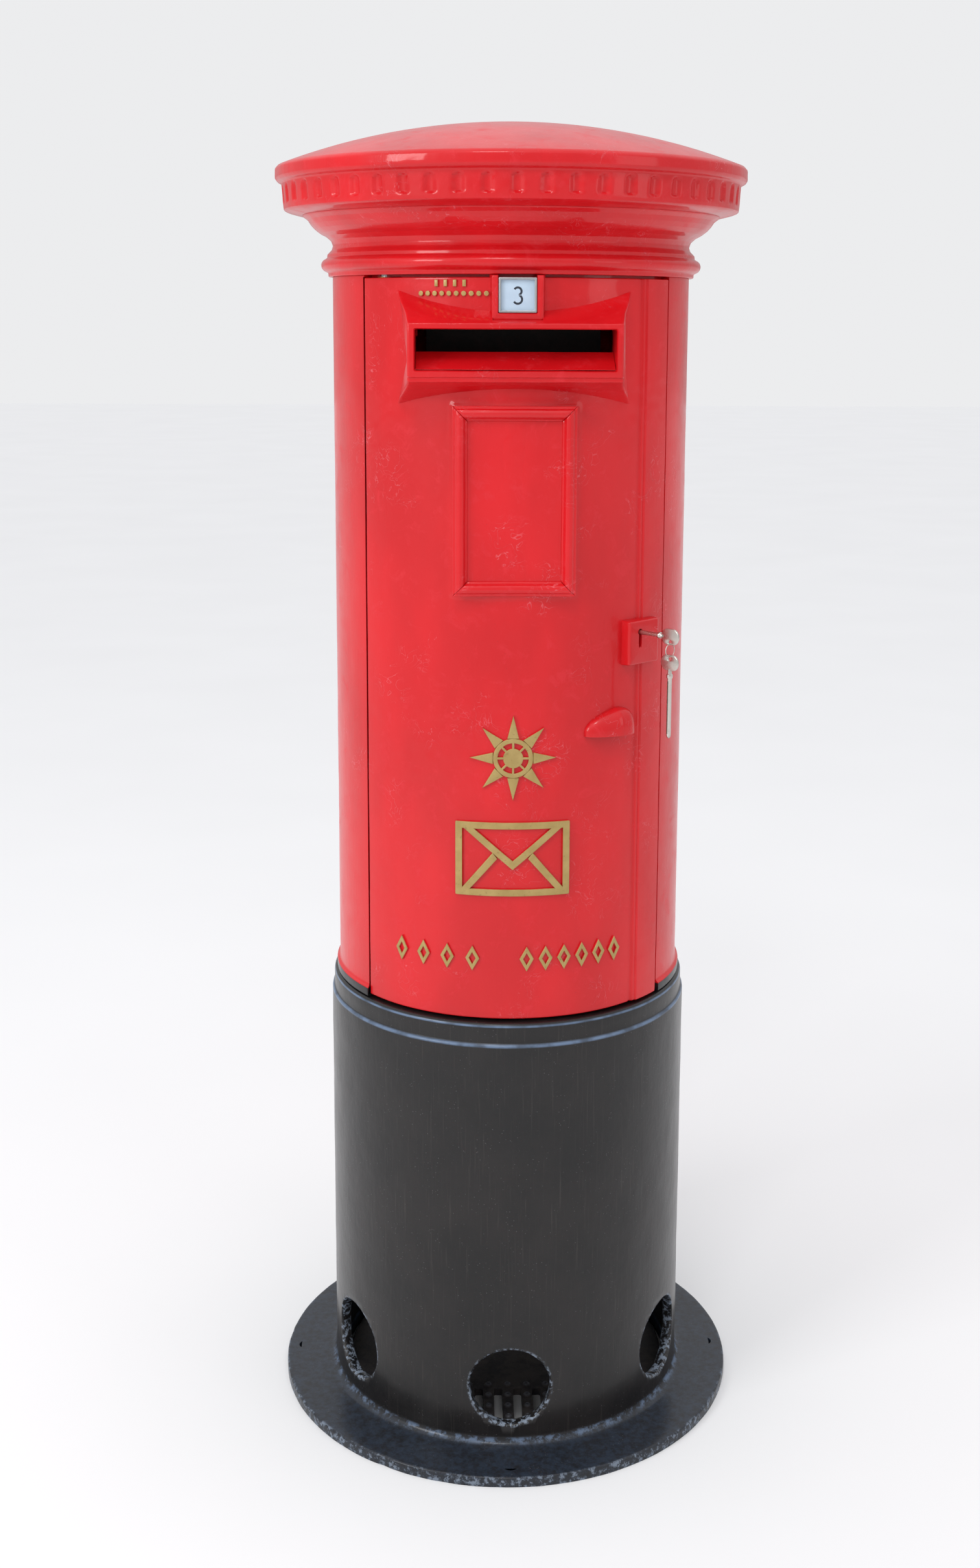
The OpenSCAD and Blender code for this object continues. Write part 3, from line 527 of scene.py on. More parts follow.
def add_red_paint(name, wrinkles=1.0, black_below=0.0):
    paint = Finish(name, Specular_IOR_Level=0.22, Coat_Roughness=0.09, Coat_IOR=1.5)
    place = paint.place
    clouds = place.stretched(1, 1, 0.4).grain(120, 3.0)
    streaks = place.stretched(1, 1, 0.03).grain(2.6, 3.0, 0.6)
    faded = place.grain(26, 5.0, 0.7, 0.6)
    peel = place.grain(5.5, 2.0)
    fine = place.grain(1.5, 2.0)
    # Thin raised wrinkle lines in the paint, in patches; they are also tinted pink as a painted highlight on
    # their ridges.
    wrinkle_area = place.grain(70, 2.0).rise(0.53, 0.66)
    glinting_wrinkles = abs(place.grain(24, 2.0, 0.5, 1.8) - 0.5).fall(0.0, 0.012) * wrinkle_area
    dirt = place.cells(9.0).fall(0.03, 0.09) * place.grain(45).rise(0.5, 0.65)
    base = clouds.rise(0.3, 0.7).tint(rgb(196, 14, 22), rgb(214, 19, 28))
    base = (faded.rise(0.52, 0.72) * 0.45).tint(base, rgb(212, 52, 60))
    # Painted highlight: pink tint along the wrinkle lines.
    base = (glinting_wrinkles * 0.3 * wrinkles).tint(base, rgb(236, 140, 150))
    base = (dirt * 0.35).tint(base, rgb(120, 30, 32))
    base = place.part("Z").fall(black_below, black_below + 1.5).tint(base, rgb(24, 22, 24))
    paint.vary(Base_Color=base,
               Roughness=0.30 + faded * 0.16 + streaks * 0.05,
               Coat_Weight=0.45 - faded.rise(0.5, 0.75) * 0.3)
    paint.bump(place.grain(42, 2.0) * 0.55 + streaks * 0.10 + peel * 0.10 + fine * 0.018
               + glinting_wrinkles * (0.14 * wrinkles) + place.stretched(1, 1, 0.25).grain(13, 2.0) * 0.22)
    return paint


red_paint = add_red_paint("red_gloss_paint")
add_red_paint("barrel_gloss_paint", black_below=foot_top + 11).put_on(barrel)
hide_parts("barrel_casting")
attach(barrel, "body")


# ---- Collar -------------------------------------------------------------------
# The collar is an iron ring bolted on the barrel: a bead, a neck and a hollow moulding that
# spreads under the cap. A drip strip, cast on it, stands out over the door.

collar_top = box("cap_roof")[0].z
collar_in = 228
bead_r = 8.6
bead_z = 1604
drip_r = 252.2


def bead(radius, z, size, low, high, count):
    """Corners of a round moulding, from the low to the high angle in degrees."""
    angles = map(radians, steps(low, high, abs(high - low) / count))
    return [(radius + size * cos(angle), z + size * sin(angle), 0) for angle in angles]


def aged(r, azimuth, z):
    return 0.35 * lumps(polar(r, azimuth, z), 34, 4) + 0.22 * lumps(polar(r, azimuth, 2 * z), 13, 5)


collar = bmesh.new()
turn(collar, rounded([
    (ring_in, barrel_top, 0.5), (247, barrel_top, 1.2), (247.4, barrel_top + 5.2, 2)]
    + bead(248.0, bead_z, bead_r, -62, 68, 9) + [
    (248.6, 1613.5, 2), (248.2, 1618, 3), (242.4, 1624, 4), (240.6, 1629.5, 4), (243, 1636, 4),
    (249.2, 1641.5, 5),
    (257, 1645.6, 3), (264.4, 1651.2, 3), (269.8, 1657, 3), (273.8, 1663, 3), (279.6, 1667.2, 3),
    (281, collar_top, 0.4), (212, collar_top, 0.5), (212, collar_top - 14, 1),
    (collar_in, collar_top - 26, 2),
    (collar_in, barrel_top + ring_t, 3), (ring_in, barrel_top + ring_t, 1)], pitch=6, turns=3),
    whole_turn(300),
    lambda r, azimuth, z: 0 if r < 236 or z in (barrel_top, collar_top) else aged(r, azimuth, z) - 0.3)
strip = rounded([(240, barrel_top + 0.3, 0), (drip_r - 0.6, barrel_top + 0.3, 2.2),
                 (drip_r - 0.6, 1600.5, 3.2),
                 (246, 1603, 2), (240, 1603, 0)], pitch=3)
sections = []
for azimuth in steps(seam_az + 0.8, closing_az + 0.9, 0.9):
    ends = min(azimuth - seam_az - 0.8, closing_az + 0.9 - azimuth)
    eased = -1.6 * max(0, 1 - ends / 0.9) ** 2
    sections.append([polar(r + (aged(r, azimuth, z) + eased) * (r > 241), azimuth, z) for r, z in strip])
loft(collar, sections)
collar = made("collar", collar)
bores = bmesh.new()
for hole in range(6):
    place = polar(joint_bolt_r, 60 * hole + joint_bolt_az, 0)
    drill(bores, 6.5, place + Vector((0, 0, barrel_top - 1)), place + Vector((0, 0, barrel_top + 16)), 0, 20)
    place = polar(224, 60 * hole + 30, 0)
    drill(bores, 6.5, place + Vector((0, 0, collar_top - 18)), place + Vector((0, 0, collar_top + 4)), 0, 20)
drill(bores, pin_r + 0.1, pin_place + Vector((0, 0, barrel_top - 1)),
      pin_place + Vector((0, 0, barrel_top + 13.2)), 0, 28)
cut(collar, bores)
red_paint.put_on(collar)
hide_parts("collar_casting")
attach(collar, "body")


# ---- Cap ----------------------------------------------------------------------
# The cap is a shallow iron dome with a thick lip, and under the lip a frieze of round-headed
# flutes. Every coat of paint has run a little at the flutes' lower edges.

lip_r = box("cap_roof")[1].x
lip_z = 1731
dome_rise = box("cap_roof")[1].z - lip_z - 0.2
dome_radius = (lip_r ** 2 + dome_rise ** 2) / (2 * dome_rise)
dome_centre = lip_z + dome_rise - dome_radius
cap_t = 11
frieze_r = 306
flute_count = 54
flute_w = 16
flute_h = 25
flute_z = 1683
flute_depth = 3.6


def dome(radius, r):
    return dome_centre + sqrt(radius ** 2 - r ** 2)


def eased(share):
    share = min(max(share, 0.0), 1.0)
    return share * share * (3 - 2 * share)


def cap_relief(r, azimuth, z):
    if r < 1:
        return 0
    point = polar(r, azimuth, z)
    uneven = 0.4 * lumps(point, 40, 6) + 0.2 * lumps(point, 12, 7) - 0.35
    if not flute_z - 2 < z < flute_z + flute_h + 1 or r < frieze_r - 4:
        return uneven if z > collar_top + 15 or r > 290 else 0
    pitch = 360 / flute_count
    aside = (azimuth / pitch - round(azimuth / pitch)) * radians(pitch) * r / (flute_w / 2)
    aside += 0.05 * lumps(point, 9, 8)
    if abs(aside) >= 1:
        return uneven
    head = flute_z + flute_h - flute_w / 2 + flute_w / 2 * sqrt(1 - aside ** 2)
    hollow = (1 - aside ** 2) ** 0.7 * eased((z - flute_z + 0.6
                                              * lumps(point, 6, 9)) / 1.3) * eased((head - z) / 3)
    return uneven - flute_depth * hollow


cap = bmesh.new()
roof = [(r, dome(dome_radius, r), 0) for r in steps(lip_r - 3.5, 0, 13)]
ceiling = [(r, dome(dome_radius - cap_t, r), 0) for r in steps(0, 284, 20)]
cap_outline = rounded([
    (214, collar_top, 0.5), (283, collar_top, 0.5), (300, 1673.2, 3), (frieze_r - 0.6, 1675.4, 2.5),
    (frieze_r, 1682, 0), (frieze_r + 2, 1709, 1.5), (309.6, 1710.8, 1), (lip_r - 2.4, 1713, 1.6),
    (lip_r, 1716.5, 2), (lip_r, 1728.5, 3)] + roof + ceiling
    + [(284, collar_top + 14, 2), (214, collar_top + 14, 1)], pitch=1.75, turns=3)
kept = []
for i, point in enumerate(cap_outline):
    frieze = flute_z - 3 < point.y < flute_z + flute_h + 3 and point.x > frieze_r - 6
    lip = point.x > 300 and not frieze
    middle = point.x < 1 and abs(point.y - dome(dome_radius, 0) + cap_t / 2) < cap_t / 2 - 0.5
    if not middle and (frieze or point.x < 1 or lip and i % 2 == 0 or i % 6 == 0):
        kept.append(point)
turn(cap, kept, whole_turn(flute_count * 14), cap_relief)
bmesh.ops.remove_doubles(cap, verts=cap.verts, dist=0.001)
bmesh.ops.delete(cap, geom=[edge for edge in cap.edges if not edge.link_faces], context="EDGES")
cap = made("cap", cap)
bores = bmesh.new()
for hole in range(6):
    place = polar(224, 60 * hole + 30, 0)
    drill(bores, 5.5, place + Vector((0, 0, collar_top - 1)), place + Vector((0, 0, collar_top + 18)), 0, 20)
cut(cap, bores)
red_paint.put_on(cap)
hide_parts("cap_roof")
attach(cap, "body")


# ---- Door ---------------------------------------------------------------------
# The door is a plate cast to the barrel's curve, with a raised strip down its closing edge.
# Its mouldings are cast on it, so paint fills the corners where they meet the plate.

door_z0 = box("door_casting")[0].z
door_z1 = box("door_casting")[1].z
slot_w = 248
slot_h = 50
slot_z = 1497
hood_face = 268
stile_az0 = 44.0
stile_az1 = 54.4
lock_az = 42.9
key_x = -8
key_z = 1134
tablet_x = 2.5
tablet_z = 1563.5
frame_w = 156
frame_h = 239
frame_z = 1308.5


def merge_stops(stops, closest):
    """Sorted stops with those that crowd each other left out."""
    merged = []
    for stop in sorted(stops):
        if not merged or stop - merged[-1] > closest:
            merged.append(stop)
    return merged


def stile_lift(azimuth):
    """The strip, the shoulder round it and the groove beside it, above the plate."""
    lift = 1.6 * eased((azimuth - 42.7) / 0.3) + 2.0 * eased((azimuth - stile_az0) / 0.3)
    lift -= 2.0 * eased((azimuth - stile_az1) / 0.3)
    lift -= 1.6 * eased((azimuth - 55.4) / 0.4)
    return lift - 1.3 * eased((azimuth - 41.1) / 0.3) + 1.3 * eased((azimuth - 42.2) / 0.3)


def fillet_to(gap, reach, lift):
    """Paint and casting sand fill the corner at a moulding: a lift that fades with the gap."""
    return lift * max(0.0, 1 - max(gap, 0) / reach) ** 2


def door_face(azimuth, z):
    """Radius of the door's front at a point."""
    point = polar(barrel_r, azimuth, z)
    radius = barrel_r - 0.4 + stile_lift(azimuth)
    radius += 0.35 * lumps((point.x, point.y, z / 2), 48, 10) + 0.16 * lumps(point, 14, 11)
    radius += 0.16 * max(0, lumps((point.x * 0.6, point.y, z * 1.8), 9, 12)) * eased(lumps(point, 60, 13) * 3)
    aside = hypot(max(0, abs(point.x) - frame_w / 2 + 1), max(0, abs(z - frame_z) - frame_h / 2 + 1))
    radius += fillet_to(aside, 8 + 3 * lumps(point, 20, 14), 2.4)
    edge = min((azimuth - seam_az) * radians(barrel_r), (closing_az - azimuth) * radians(barrel_r),
               z - door_z0, door_z1 - z)
    return radius - 1.4 * max(0.0, 1 - edge / 1.4) ** 2


seam_gap = 0.14
az_stops = merge_stops(
    steps(seam_az + seam_gap, closing_az, 0.6)
    + [seam_az + seam_gap + d for d in (0.1, 0.22, 0.36)] + [closing_az - d for d in (0.1, 0.22, 0.36)]
    + [base + d for base in (41.1, 42.2, 42.7, stile_az0, stile_az1, 55.4) for d in (0.0, 0.15, 0.3)], 0.06)
z_stops = merge_stops(
    steps(door_z0, door_z1, 3.0) + [door_z0 + d for d in (0.4, 0.9, 1.5)]
    + [door_z1 - d for d in (0.4, 0.9, 1.5)], 0.3)


def curved_plate(bm, azimuths, heights, face, back_r):
    """Adds a closed plate with a modelled front and a plain back."""
    front = [[bm.verts.new(polar(face(azimuth, z), azimuth, z)) for z in heights] for azimuth in azimuths]
    back = [[bm.verts.new(polar(back_r, azimuth, z)) for z in (heights[0], heights[-1])]
            for azimuth in azimuths]
    for i in range(len(azimuths) - 1):
        for j in range(len(heights) - 1):
            bm.faces.new((front[i][j], front[i + 1][j], front[i + 1][j + 1], front[i][j + 1]))
        bm.faces.new((back[i][0], back[i][1], back[i + 1][1], back[i + 1][0]))
        bm.faces.new((front[i][0], back[i][0], back[i + 1][0], front[i + 1][0]))
        bm.faces.new((front[i][-1], front[i + 1][-1], back[i + 1][1], back[i][1]))
    bm.faces.new([back[0][1], back[0][0]] + front[0])
    bm.faces.new([back[-1][0], back[-1][1]] + front[-1][::-1])


door = bmesh.new()
curved_plate(door, az_stops, z_stops, door_face, inner_r)
door = made("door", door)


def slot_cutter(bm, half_w, half_h, middle, corner, mouths):
    """Adds a cutter along +Y with rounded corners; mouths are its (y, extra half size)."""
    sections = []
    for y, wider in mouths:
        outline = rounded([(-half_w - wider, -half_h - wider, corner),
                           (half_w + wider, -half_h - wider, corner),
                           (half_w + wider, half_h + wider, corner),
                           (-half_w - wider, half_h + wider, corner)],
                          parts=8)
        ring = []
        for p in outline:
            wobble = 0.35 * lumps((p.x, p.y, 0), 14, 15)
            ring.append(Vector((middle[0] + p.x + wobble * (abs(p.y) < half_h - 4), y,
                                middle[1] + p.y + wobble * (abs(p.x) < half_w - 4))))
        sections.append(ring)
    loft(bm, sections)


slot_tool = bmesh.new()
slot_cutter(slot_tool, slot_w / 2, slot_h / 2, (0, slot_z), 2.5, [(-300, 0), (-150, 0)])
slot_cutter(slot_tool, 24.5, 22.5, (tablet_x, tablet_z), 1.0, [(-300, 0), (-150, 0)])
cut(door, slot_tool)


def lock_place(x, y, z):
    """A point in the lock's own directions: x along its face, y outward from the axis."""
    return Matrix.Rotation(radians(lock_az), 3, "Z") @ Vector((x, -y, z))


keyhole = bmesh.new()
outline = []
for angle in steps(-50, 230, 14):
    outline.append((4.0 * cos(radians(angle)), 4.0 * sin(radians(angle))))
outline += [(-2.8, -14), (-2.2, -19.5), (0, -20.6), (2.2, -19.5), (2.8, -14)]
loft(keyhole, [[lock_place(key_x + x * wider, y, key_z + z * wider) for x, z in outline]
               for y, wider in [(300, 1.12), (254, 1.12), (251.5, 1.0), (200, 1.0)]])
keyhole_tool = keyhole.copy()
cut(door, keyhole)
notch = bmesh.new()
slot_cutter(notch, 3, 3.6, (0, 0), 1, [(-262, 0.6), (-243, 0), (-232, 0)])
bmesh.ops.rotate(notch, verts=notch.verts, matrix=Matrix.Rotation(radians(closing_az - 0.5), 3, "Z"))
bmesh.ops.translate(notch, verts=notch.verts, vec=(0, 0, 998.5))
cut(door, notch)
pockets = bmesh.new()
for low in (door_z0 - 1, door_z1 - 41):
    drill(pockets, 13.3, pin_place + Vector((0, 0, low)), pin_place + Vector((0, 0, low + 42)), 0, 36)
cut(door, pockets)
red_paint.put_on(door)
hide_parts("door_casting", "closing_stile")
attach(door, "door")


# ---- Hood ---------------------------------------------------------------------
# The hood is the posting mouth: a flat face that stands out of the curved door, with a top
# that sheds rain and a hollow moulding below. It is cast in iron and painted red.

ridge_z = 1529
sill_z = 1457
hood_half = 133
hood_flare = 14
hood_slope = 0.53
hood_back = 185


def hood_point(side, y, z):
    """A point of the hood: its ends spread towards the door at the top and at the bottom."""
    inward = eased((hood_face + y) / (hood_face - hood_back))
    waist = abs(z - (ridge_z + sill_z) / 2) / ((ridge_z - sill_z) / 2)
    spread = hood_flare * inward * (0.25 + 0.75 * eased((waist - 0.5) / 1.1))
    x = side * (hood_half + spread)
    point = Vector((x, y, z))
    return point + Vector((0, -0.35, 0.3)) * lumps(point, 26, 16) + Vector((0.2, 0, 0.2)) * lumps(point, 9,
                                                                                                  17)


def hood_section(side):
    reach = sqrt((barrel_r - 6) ** 2 - (side * (hood_half + 6)) ** 2)
    rise = ridge_z + hood_slope * (hood_face - reach)
    drop = sill_z - 0.40 * (hood_face - 4 - reach)
    corners = [(-hood_face, ridge_z, 2.6), (-reach, rise, 0), (-reach, drop, 0),
               (-(hood_face + reach) / 2 + 2, (sill_z + drop) / 2 + 2.5, 12),
               (-hood_face + 5, sill_z + 0.5, 1.2),
               (-hood_face + 2, sill_z + 1, 0.8), (-hood_face + 2, sill_z + 6, 0.8),
               (-hood_face, sill_z + 7, 0.8)]
    return rounded(corners, turns=3, parts=3)


hood = bmesh.new()
side_stops = [-1, -0.9985, -0.994, -0.985] + steps(-0.97, 0.97, 0.03) + [0.985, 0.994, 0.9985, 1]
sections = []
for side in side_stops:
    rounding = 1.6 * max(0.0, (abs(side) - 0.985) / 0.015) ** 2
    centre = Vector((-hood_face + 40, (ridge_z + sill_z) / 2))
    section = []
    for p in hood_section(side):
        pulled = p + (centre - p).normalized() * rounding
        section.append(hood_point(side, pulled.x, pulled.y))
    sections.append(section)
loft(hood, sections)
hood = made("posting_hood", hood, 50)
mouth = bmesh.new()
slot_cutter(mouth, slot_w / 2, slot_h / 2, (0, slot_z), 2.5,
            [(-276, 6), (-269, 2.0), (-267.2, 0.8), (-265.5, 0.2), (-263, 0), (-180, 0)])
holder_low, holder_high = box("tablet_holder")
loft(mouth, [[Vector((x, y, z)) for x, z in [(holder_low.x + 1, ridge_z + 4.5),
                                             (holder_high.x - 1, ridge_z + 4.5),
                                             (holder_high.x - 1, 1620), (holder_low.x + 1, 1620)]]
             for y in (-300, -150)])
cut(hood, mouth)
red_paint.put_on(hood)
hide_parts("posting_hood")
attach(hood, "door")


# ---- Chute and hand guard -----------------------------------------------------
# A folded lip rises behind the slot's lower edge and keeps out rain, painted with the door.
# Behind it hangs a sheet, so that a hand can't reach down to the letters; it is coloured near black as
# painted shade for the dark inside of the slot.

chute_high = box("chute_plate")[1]
chute_half = chute_high.x
chute_back = chute_high.y
chute_top = chute_high.z
lip_y = -218
chute = bmesh.new()
sections = []
for x in steps(-chute_half, chute_half, 8):
    outline = rounded([(-260, 1472.6, 0.5), (-256.5, 1472.6, 0.5), (lip_y, chute_top - 4.5, 1.5),
                       (chute_back - 3, 1474, 0.8), (chute_back, 1476, 0.8), (lip_y + 1, chute_top, 2.0),
                       (lip_y - 2, chute_top, 2.0)], parts=3)
    sections.append([Vector((x, p.x, p.y + 0.3 * lumps((x, p.x, p.y), 30, 18))) for p in outline])
loft(chute, sections)
chute = made("chute_lip", chute, 50)
red_paint.put_on(chute)
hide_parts("chute_plate")
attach(chute, "door")


def add_galvanised():
    sheet = Finish("galvanised_sheet", Metallic=1.0)
    place = sheet.place
    spangle = place.cells(11.0, out="Color").part("X")
    dull = place.grain(60, 4.0)
    sheet.vary(Base_Color=(spangle * 0.6 + dull * 0.4).tint(rgb(128, 132, 136), rgb(182, 187, 190)),
               Roughness=0.38 + spangle * 0.12 + dull * 0.15)
    sheet.bump(spangle * 0.02 + place.grain(3, 3.0) * 0.02)
    return sheet


galvanised = add_galvanised()
galvanised.put_on(nodes["floor_plate"], nodes["letter_guard"])


def add_slot_shade_sheet():
    sheet = Finish("sheet_darkened_as_slot_shade", Specular_IOR_Level=0.3)
    dust = sheet.place.grain(20, 4.0, 0.65)
    # Painted shade: the sheet is coloured near black to stand for the shade inside the slot; the dust patches
    # on it are its own.
    sheet.vary(Base_Color=dust.rise(0.4, 0.7).tint(rgb(14, 12, 12), rgb(34, 28, 27)),
               Roughness=0.6 + dust * 0.2)
    sheet.bump(dust * 0.1 + sheet.place.grain(3, 3.0) * 0.03)
    return sheet


add_slot_shade_sheet().put_on(nodes["hand_guard"])


# ---- Notice frame -------------------------------------------------------------
# A flat panel on a boss carries the collection notice between four moulded rails. The
# rails are cast bars with mitred ends, screwed on and painted over.

panel_y = 243
rail_w = 19
rail_corners = [(0, 0, 0), (0, 4.2, 1.4), (3.2, 4.8, 0.8), (5, 7.6, 2.5), (9, 9.4, 3.2), (13.5, 8.4, 3.2),
                (16.6, 3.2, 1.5), (18.2, 2.6, 0.8), (rail_w, 0, 0)]


def rail(bm, start, end, inward):
    """Adds a mitred rail: start and end are its outer corners, and inward points to the panel."""
    along = (end - start).normalized()
    length = (end - start).length
    stops = merge_stops(steps(0, length, 6) + [0.6, 1.4, length - 0.6, length - 1.4], 0.2)
    sections = []
    for stop in stops:
        section = []
        for across, lift in rounded(rail_corners, turns=3, parts=2):
            reach = length / 2 - across - 0.25
            edge = min(stop, length - stop)
            edge_wear_and_highlight = 0.7 * max(0.0, 1 - edge / 1.4) ** 2 * (lift > 2)
            point = (start + end) / 2 + along * (stop / length * 2 - 1) * reach + inward * across
            point.y -= lift - edge_wear_and_highlight
            point += Vector((0.25, 0.5, 0.25)) * lumps(point, 24, 19)
            section.append(point)
        sections.append(section)
    loft(bm, sections)


def notice_corner(x, z):
    return Vector((x * frame_w / 2, -panel_y, frame_z + z * frame_h / 2))


for name, start, end, inward in [
        ("notice_rail_top", (-1, 1), (1, 1), (0, 0, -1)),
        ("notice_rail_bottom", (-1, -1), (1, -1), (0, 0, 1)),
        ("notice_rail_left", (-1, -1), (-1, 1), (1, 0, 0)),
        ("notice_rail_right", (1, -1), (1, 1), (-1, 0, 0))]:
    bar = bmesh.new()
    rail(bar, notice_corner(*start), notice_corner(*end), Vector(inward))
    bar = made(name + "_moulding", bar, 50)
    red_paint.put_on(bar)
    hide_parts(name)
    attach(bar, "door")

panel = bmesh.new()
front = []
half_w = frame_w / 2 - 1
half_h = frame_h / 2 - 1
sections = []
for z in merge_stops(steps(frame_z - half_h, frame_z + half_h, 5), 0.1):
    section = []
    for x in steps(-half_w, half_w, 5):
        section.append(Vector((x, -panel_y + 0.35 * lumps((x, 0, z), 40, 20), z)))
    back = [Vector((x, -sqrt((barrel_r - 1.5) ** 2 - x * x), z)) for x in steps(half_w, -half_w, 5)]
    sections.append(section + back)
loft(panel, sections)
panel = made("notice_board", panel, 50)
red_paint.put_on(panel)
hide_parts("notice_panel")
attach(panel, "door")


# ---- Tablet -------------------------------------------------------------------
# Over the hood a cast holder keeps the tablet that shows the next collection: an enamelled
# plate in a bent steel frame, lifted out from behind the open door.

tablet_low, tablet_high = box("tablet_frame")
holder = bmesh.new()
sections = []
for y, out in [(holder_low.y, 1.2), (holder_low.y + 0.4, 0.5), (holder_low.y + 1.4, 0),
               (holder_low.y + 8, 0), (holder_low.y + 14, -1.5), (-236, -2.5)]:
    outline = rounded([(holder_low.x + out, holder_low.z + out, 3),
                       (holder_high.x - out, holder_low.z + out, 3),
                       (holder_high.x - out, holder_high.z - out, 1.5),
                       (holder_low.x + out, holder_high.z - out, 1.5)],
                      parts=10)
    section = []
    for p in outline:
        point = Vector((p.x, y, p.y))
        section.append(point + Vector((0.4, 0.6, 0.4)) * lumps(point, 15, 21))
    sections.append(section)
loft(holder, sections)
holder = made("tablet_holder_casting", holder, 50)
window = bmesh.new()
sections = []
for y, wider in [(-262, 2.5), (holder_low.y - 0.2, 1.6), (holder_low.y + 0.8, 0.6), (holder_low.y + 2, 0.3),
                 (-230, 0.3)]:
    outline = rounded([(tablet_low.x - wider, tablet_low.z - wider, 1),
                       (tablet_high.x + wider, tablet_low.z - wider, 1),
                       (tablet_high.x + wider, tablet_high.z + 30, 1),
                       (tablet_low.x - wider, tablet_high.z + 30, 1)],
                      parts=6)
    sections.append([Vector((p.x, y, p.y)) for p in outline])
loft(window, sections)
cut(holder, window)
red_paint.put_on(holder)
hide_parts("tablet_holder")
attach(holder, "door")


def flat_shape(name, polygons, thickness, round_edge):
    """A plate from flat outlines, drawn in X and Z and facing -Y, with rounded edges."""
    curve = bpy.data.curves.new(name, "CURVE")
    curve.dimensions = "2D"
    curve.fill_mode = "BOTH"
    curve.extrude = thickness / 2 - round_edge
    curve.bevel_depth = round_edge
    curve.bevel_resolution = 2
    curve.offset = -round_edge
    for polygon in polygons:
        spline = curve.splines.new("POLY")
        spline.points.add(len(polygon) - 1)
        for point, (x, z) in zip(spline.points, polygon):
            point.co = (x, z, 0, 1)
        spline.use_cyclic_u = True
    piece = bpy.data.objects.new(name, curve)
    mesh = bpy.data.meshes.new_from_object(piece)
    bpy.data.objects.remove(piece)
    bm = bmesh.new()
    bm.from_mesh(mesh)
    bmesh.ops.remove_doubles(bm, verts=bm.verts, dist=0.002)
    for vertex in bm.verts:
        vertex.co = Vector((vertex.co.x, -vertex.co.z - thickness / 2, vertex.co.y))
    return bm


def moved(bm, x=0, y=0, z=0):
    bmesh.ops.translate(bm, verts=bm.verts, vec=(x, y, z))
    return bm


def circle(radius, x=0, z=0, sides=32):
    return [(x + radius * cos(a), z + radius * sin(a)) for a in map(radians, whole_turn(sides))]


tablet_mid = (tablet_low + tablet_high) / 2
half_x = (tablet_high.x - tablet_low.x) / 2
half_z = (tablet_high.z - tablet_low.z) / 2
plate = flat_shape("plate", [rounded([(-half_x + 2.6, -half_z + 2.6, 1), (half_x - 2.6, -half_z + 2.6, 1),
                                      (half_x - 2.6, half_z - 2.6, 1), (-half_x + 2.6, half_z - 2.6, 1)])],
                                      2.0, 0.5)
plate = made("tablet_plate", moved(plate, tablet_mid.x, tablet_low.y + 3.0, tablet_mid.z))
three = [(4.6, 5.9, 150, -70), (-5.2, 6.6, 70, -150)]
outer = [(r * cos(radians(a)), c + r * sin(radians(a))) for c, r, a0, a1 in three for a in steps(a0, a1, 15)]
inner = [((r - 2.6) * cos(radians(a)), c + (r - 2.6) * sin(radians(a)))
         for c, r, a0, a1 in reversed(three) for a in steps(a1, a0, 15)]
numeral = moved(flat_shape("numeral", [outer + inner], 0.3, 0.05), tablet_mid.x, tablet_low.y + 1.25,
                tablet_mid.z)
numeral = made("tablet_numeral", numeral)
edge = flat_shape("edge", [rounded([(-half_x, -half_z, 1.5), (half_x, -half_z, 1.5), (half_x, half_z, 1.5),
                                    (-half_x, half_z, 1.5)]),
                           rounded([(-half_x + 3, -half_z + 3, 0.8), (-half_x + 3, half_z - 3, 0.8),
                                    (half_x - 3, half_z - 3, 0.8), (half_x - 3, -half_z + 3, 0.8)])], 6.0,
                                    0.9)
edge = made("tablet_edge", moved(edge, tablet_mid.x, tablet_low.y + 3.1, tablet_mid.z))


def add_enamel():
    glaze = Finish("pale_blue_enamel", Specular_IOR_Level=0.5, Coat_Weight=0.6, Coat_Roughness=0.08)
    cloud = glaze.place.grain(18, 3.0)
    dirt = glaze.place.grain(4, 4.0, 0.7).rise(0.58, 0.75)
    base = cloud.tint(rgb(168, 190, 212), rgb(196, 214, 230))
    glaze.vary(Base_Color=(dirt * 0.3).tint(base, rgb(132, 140, 150)), Roughness=0.22 + dirt * 0.3)
    glaze.bump(glaze.place.grain(9, 2.0) * 0.05)
    return glaze


def add_steel(name, dark, light, roughness, scratch=2.0):
    metal = Finish(name, Metallic=1.0)
    brushed = metal.place.stretched(1, 1, 0.08).grain(scratch, 4.0, 0.7)
    stain = metal.place.grain(22, 4.0, 0.6)
    base = (brushed * 0.5 + stain * 0.5).tint(dark, light)
    base = (stain.rise(0.62, 0.75) * 0.35).tint(base, rgb(96, 78, 60))
    metal.vary(Base_Color=base, Roughness=roughness + stain * 0.14 + brushed * 0.08)
    metal.bump(brushed * 0.012 + stain * 0.02)
    return metal


def add_ink():
    ink = Finish("baked_black_numeral", Specular_IOR_Level=0.4)
    speckle = ink.place.grain(1.2, 2.0)
    ink.vary(Base_Color=speckle.tint(rgb(30, 34, 44), rgb(52, 58, 70)), Roughness=0.35 + speckle * 0.2)
    return ink


bright_steel = add_steel("ground_bright_steel", rgb(150, 152, 154), rgb(206, 207, 208), 0.24)
enamel = add_enamel()
enamel.put_on(plate)
add_ink().put_on(numeral)
bright_steel.put_on(edge)
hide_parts("collection_tablet")
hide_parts("tablet_frame")
for piece, finish_slot in ((plate, "tablet_enamel"), (numeral, "tablet_enamel"), (edge, "bright_steel")):
    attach(piece, "tablet")


# ---- Lock ---------------------------------------------------------------------
# A square boss cast on the closing strip gives the lock a flat face. Behind the door hang
# the steel lock case, its brass levers and the bolt, screwed through the cover plate.

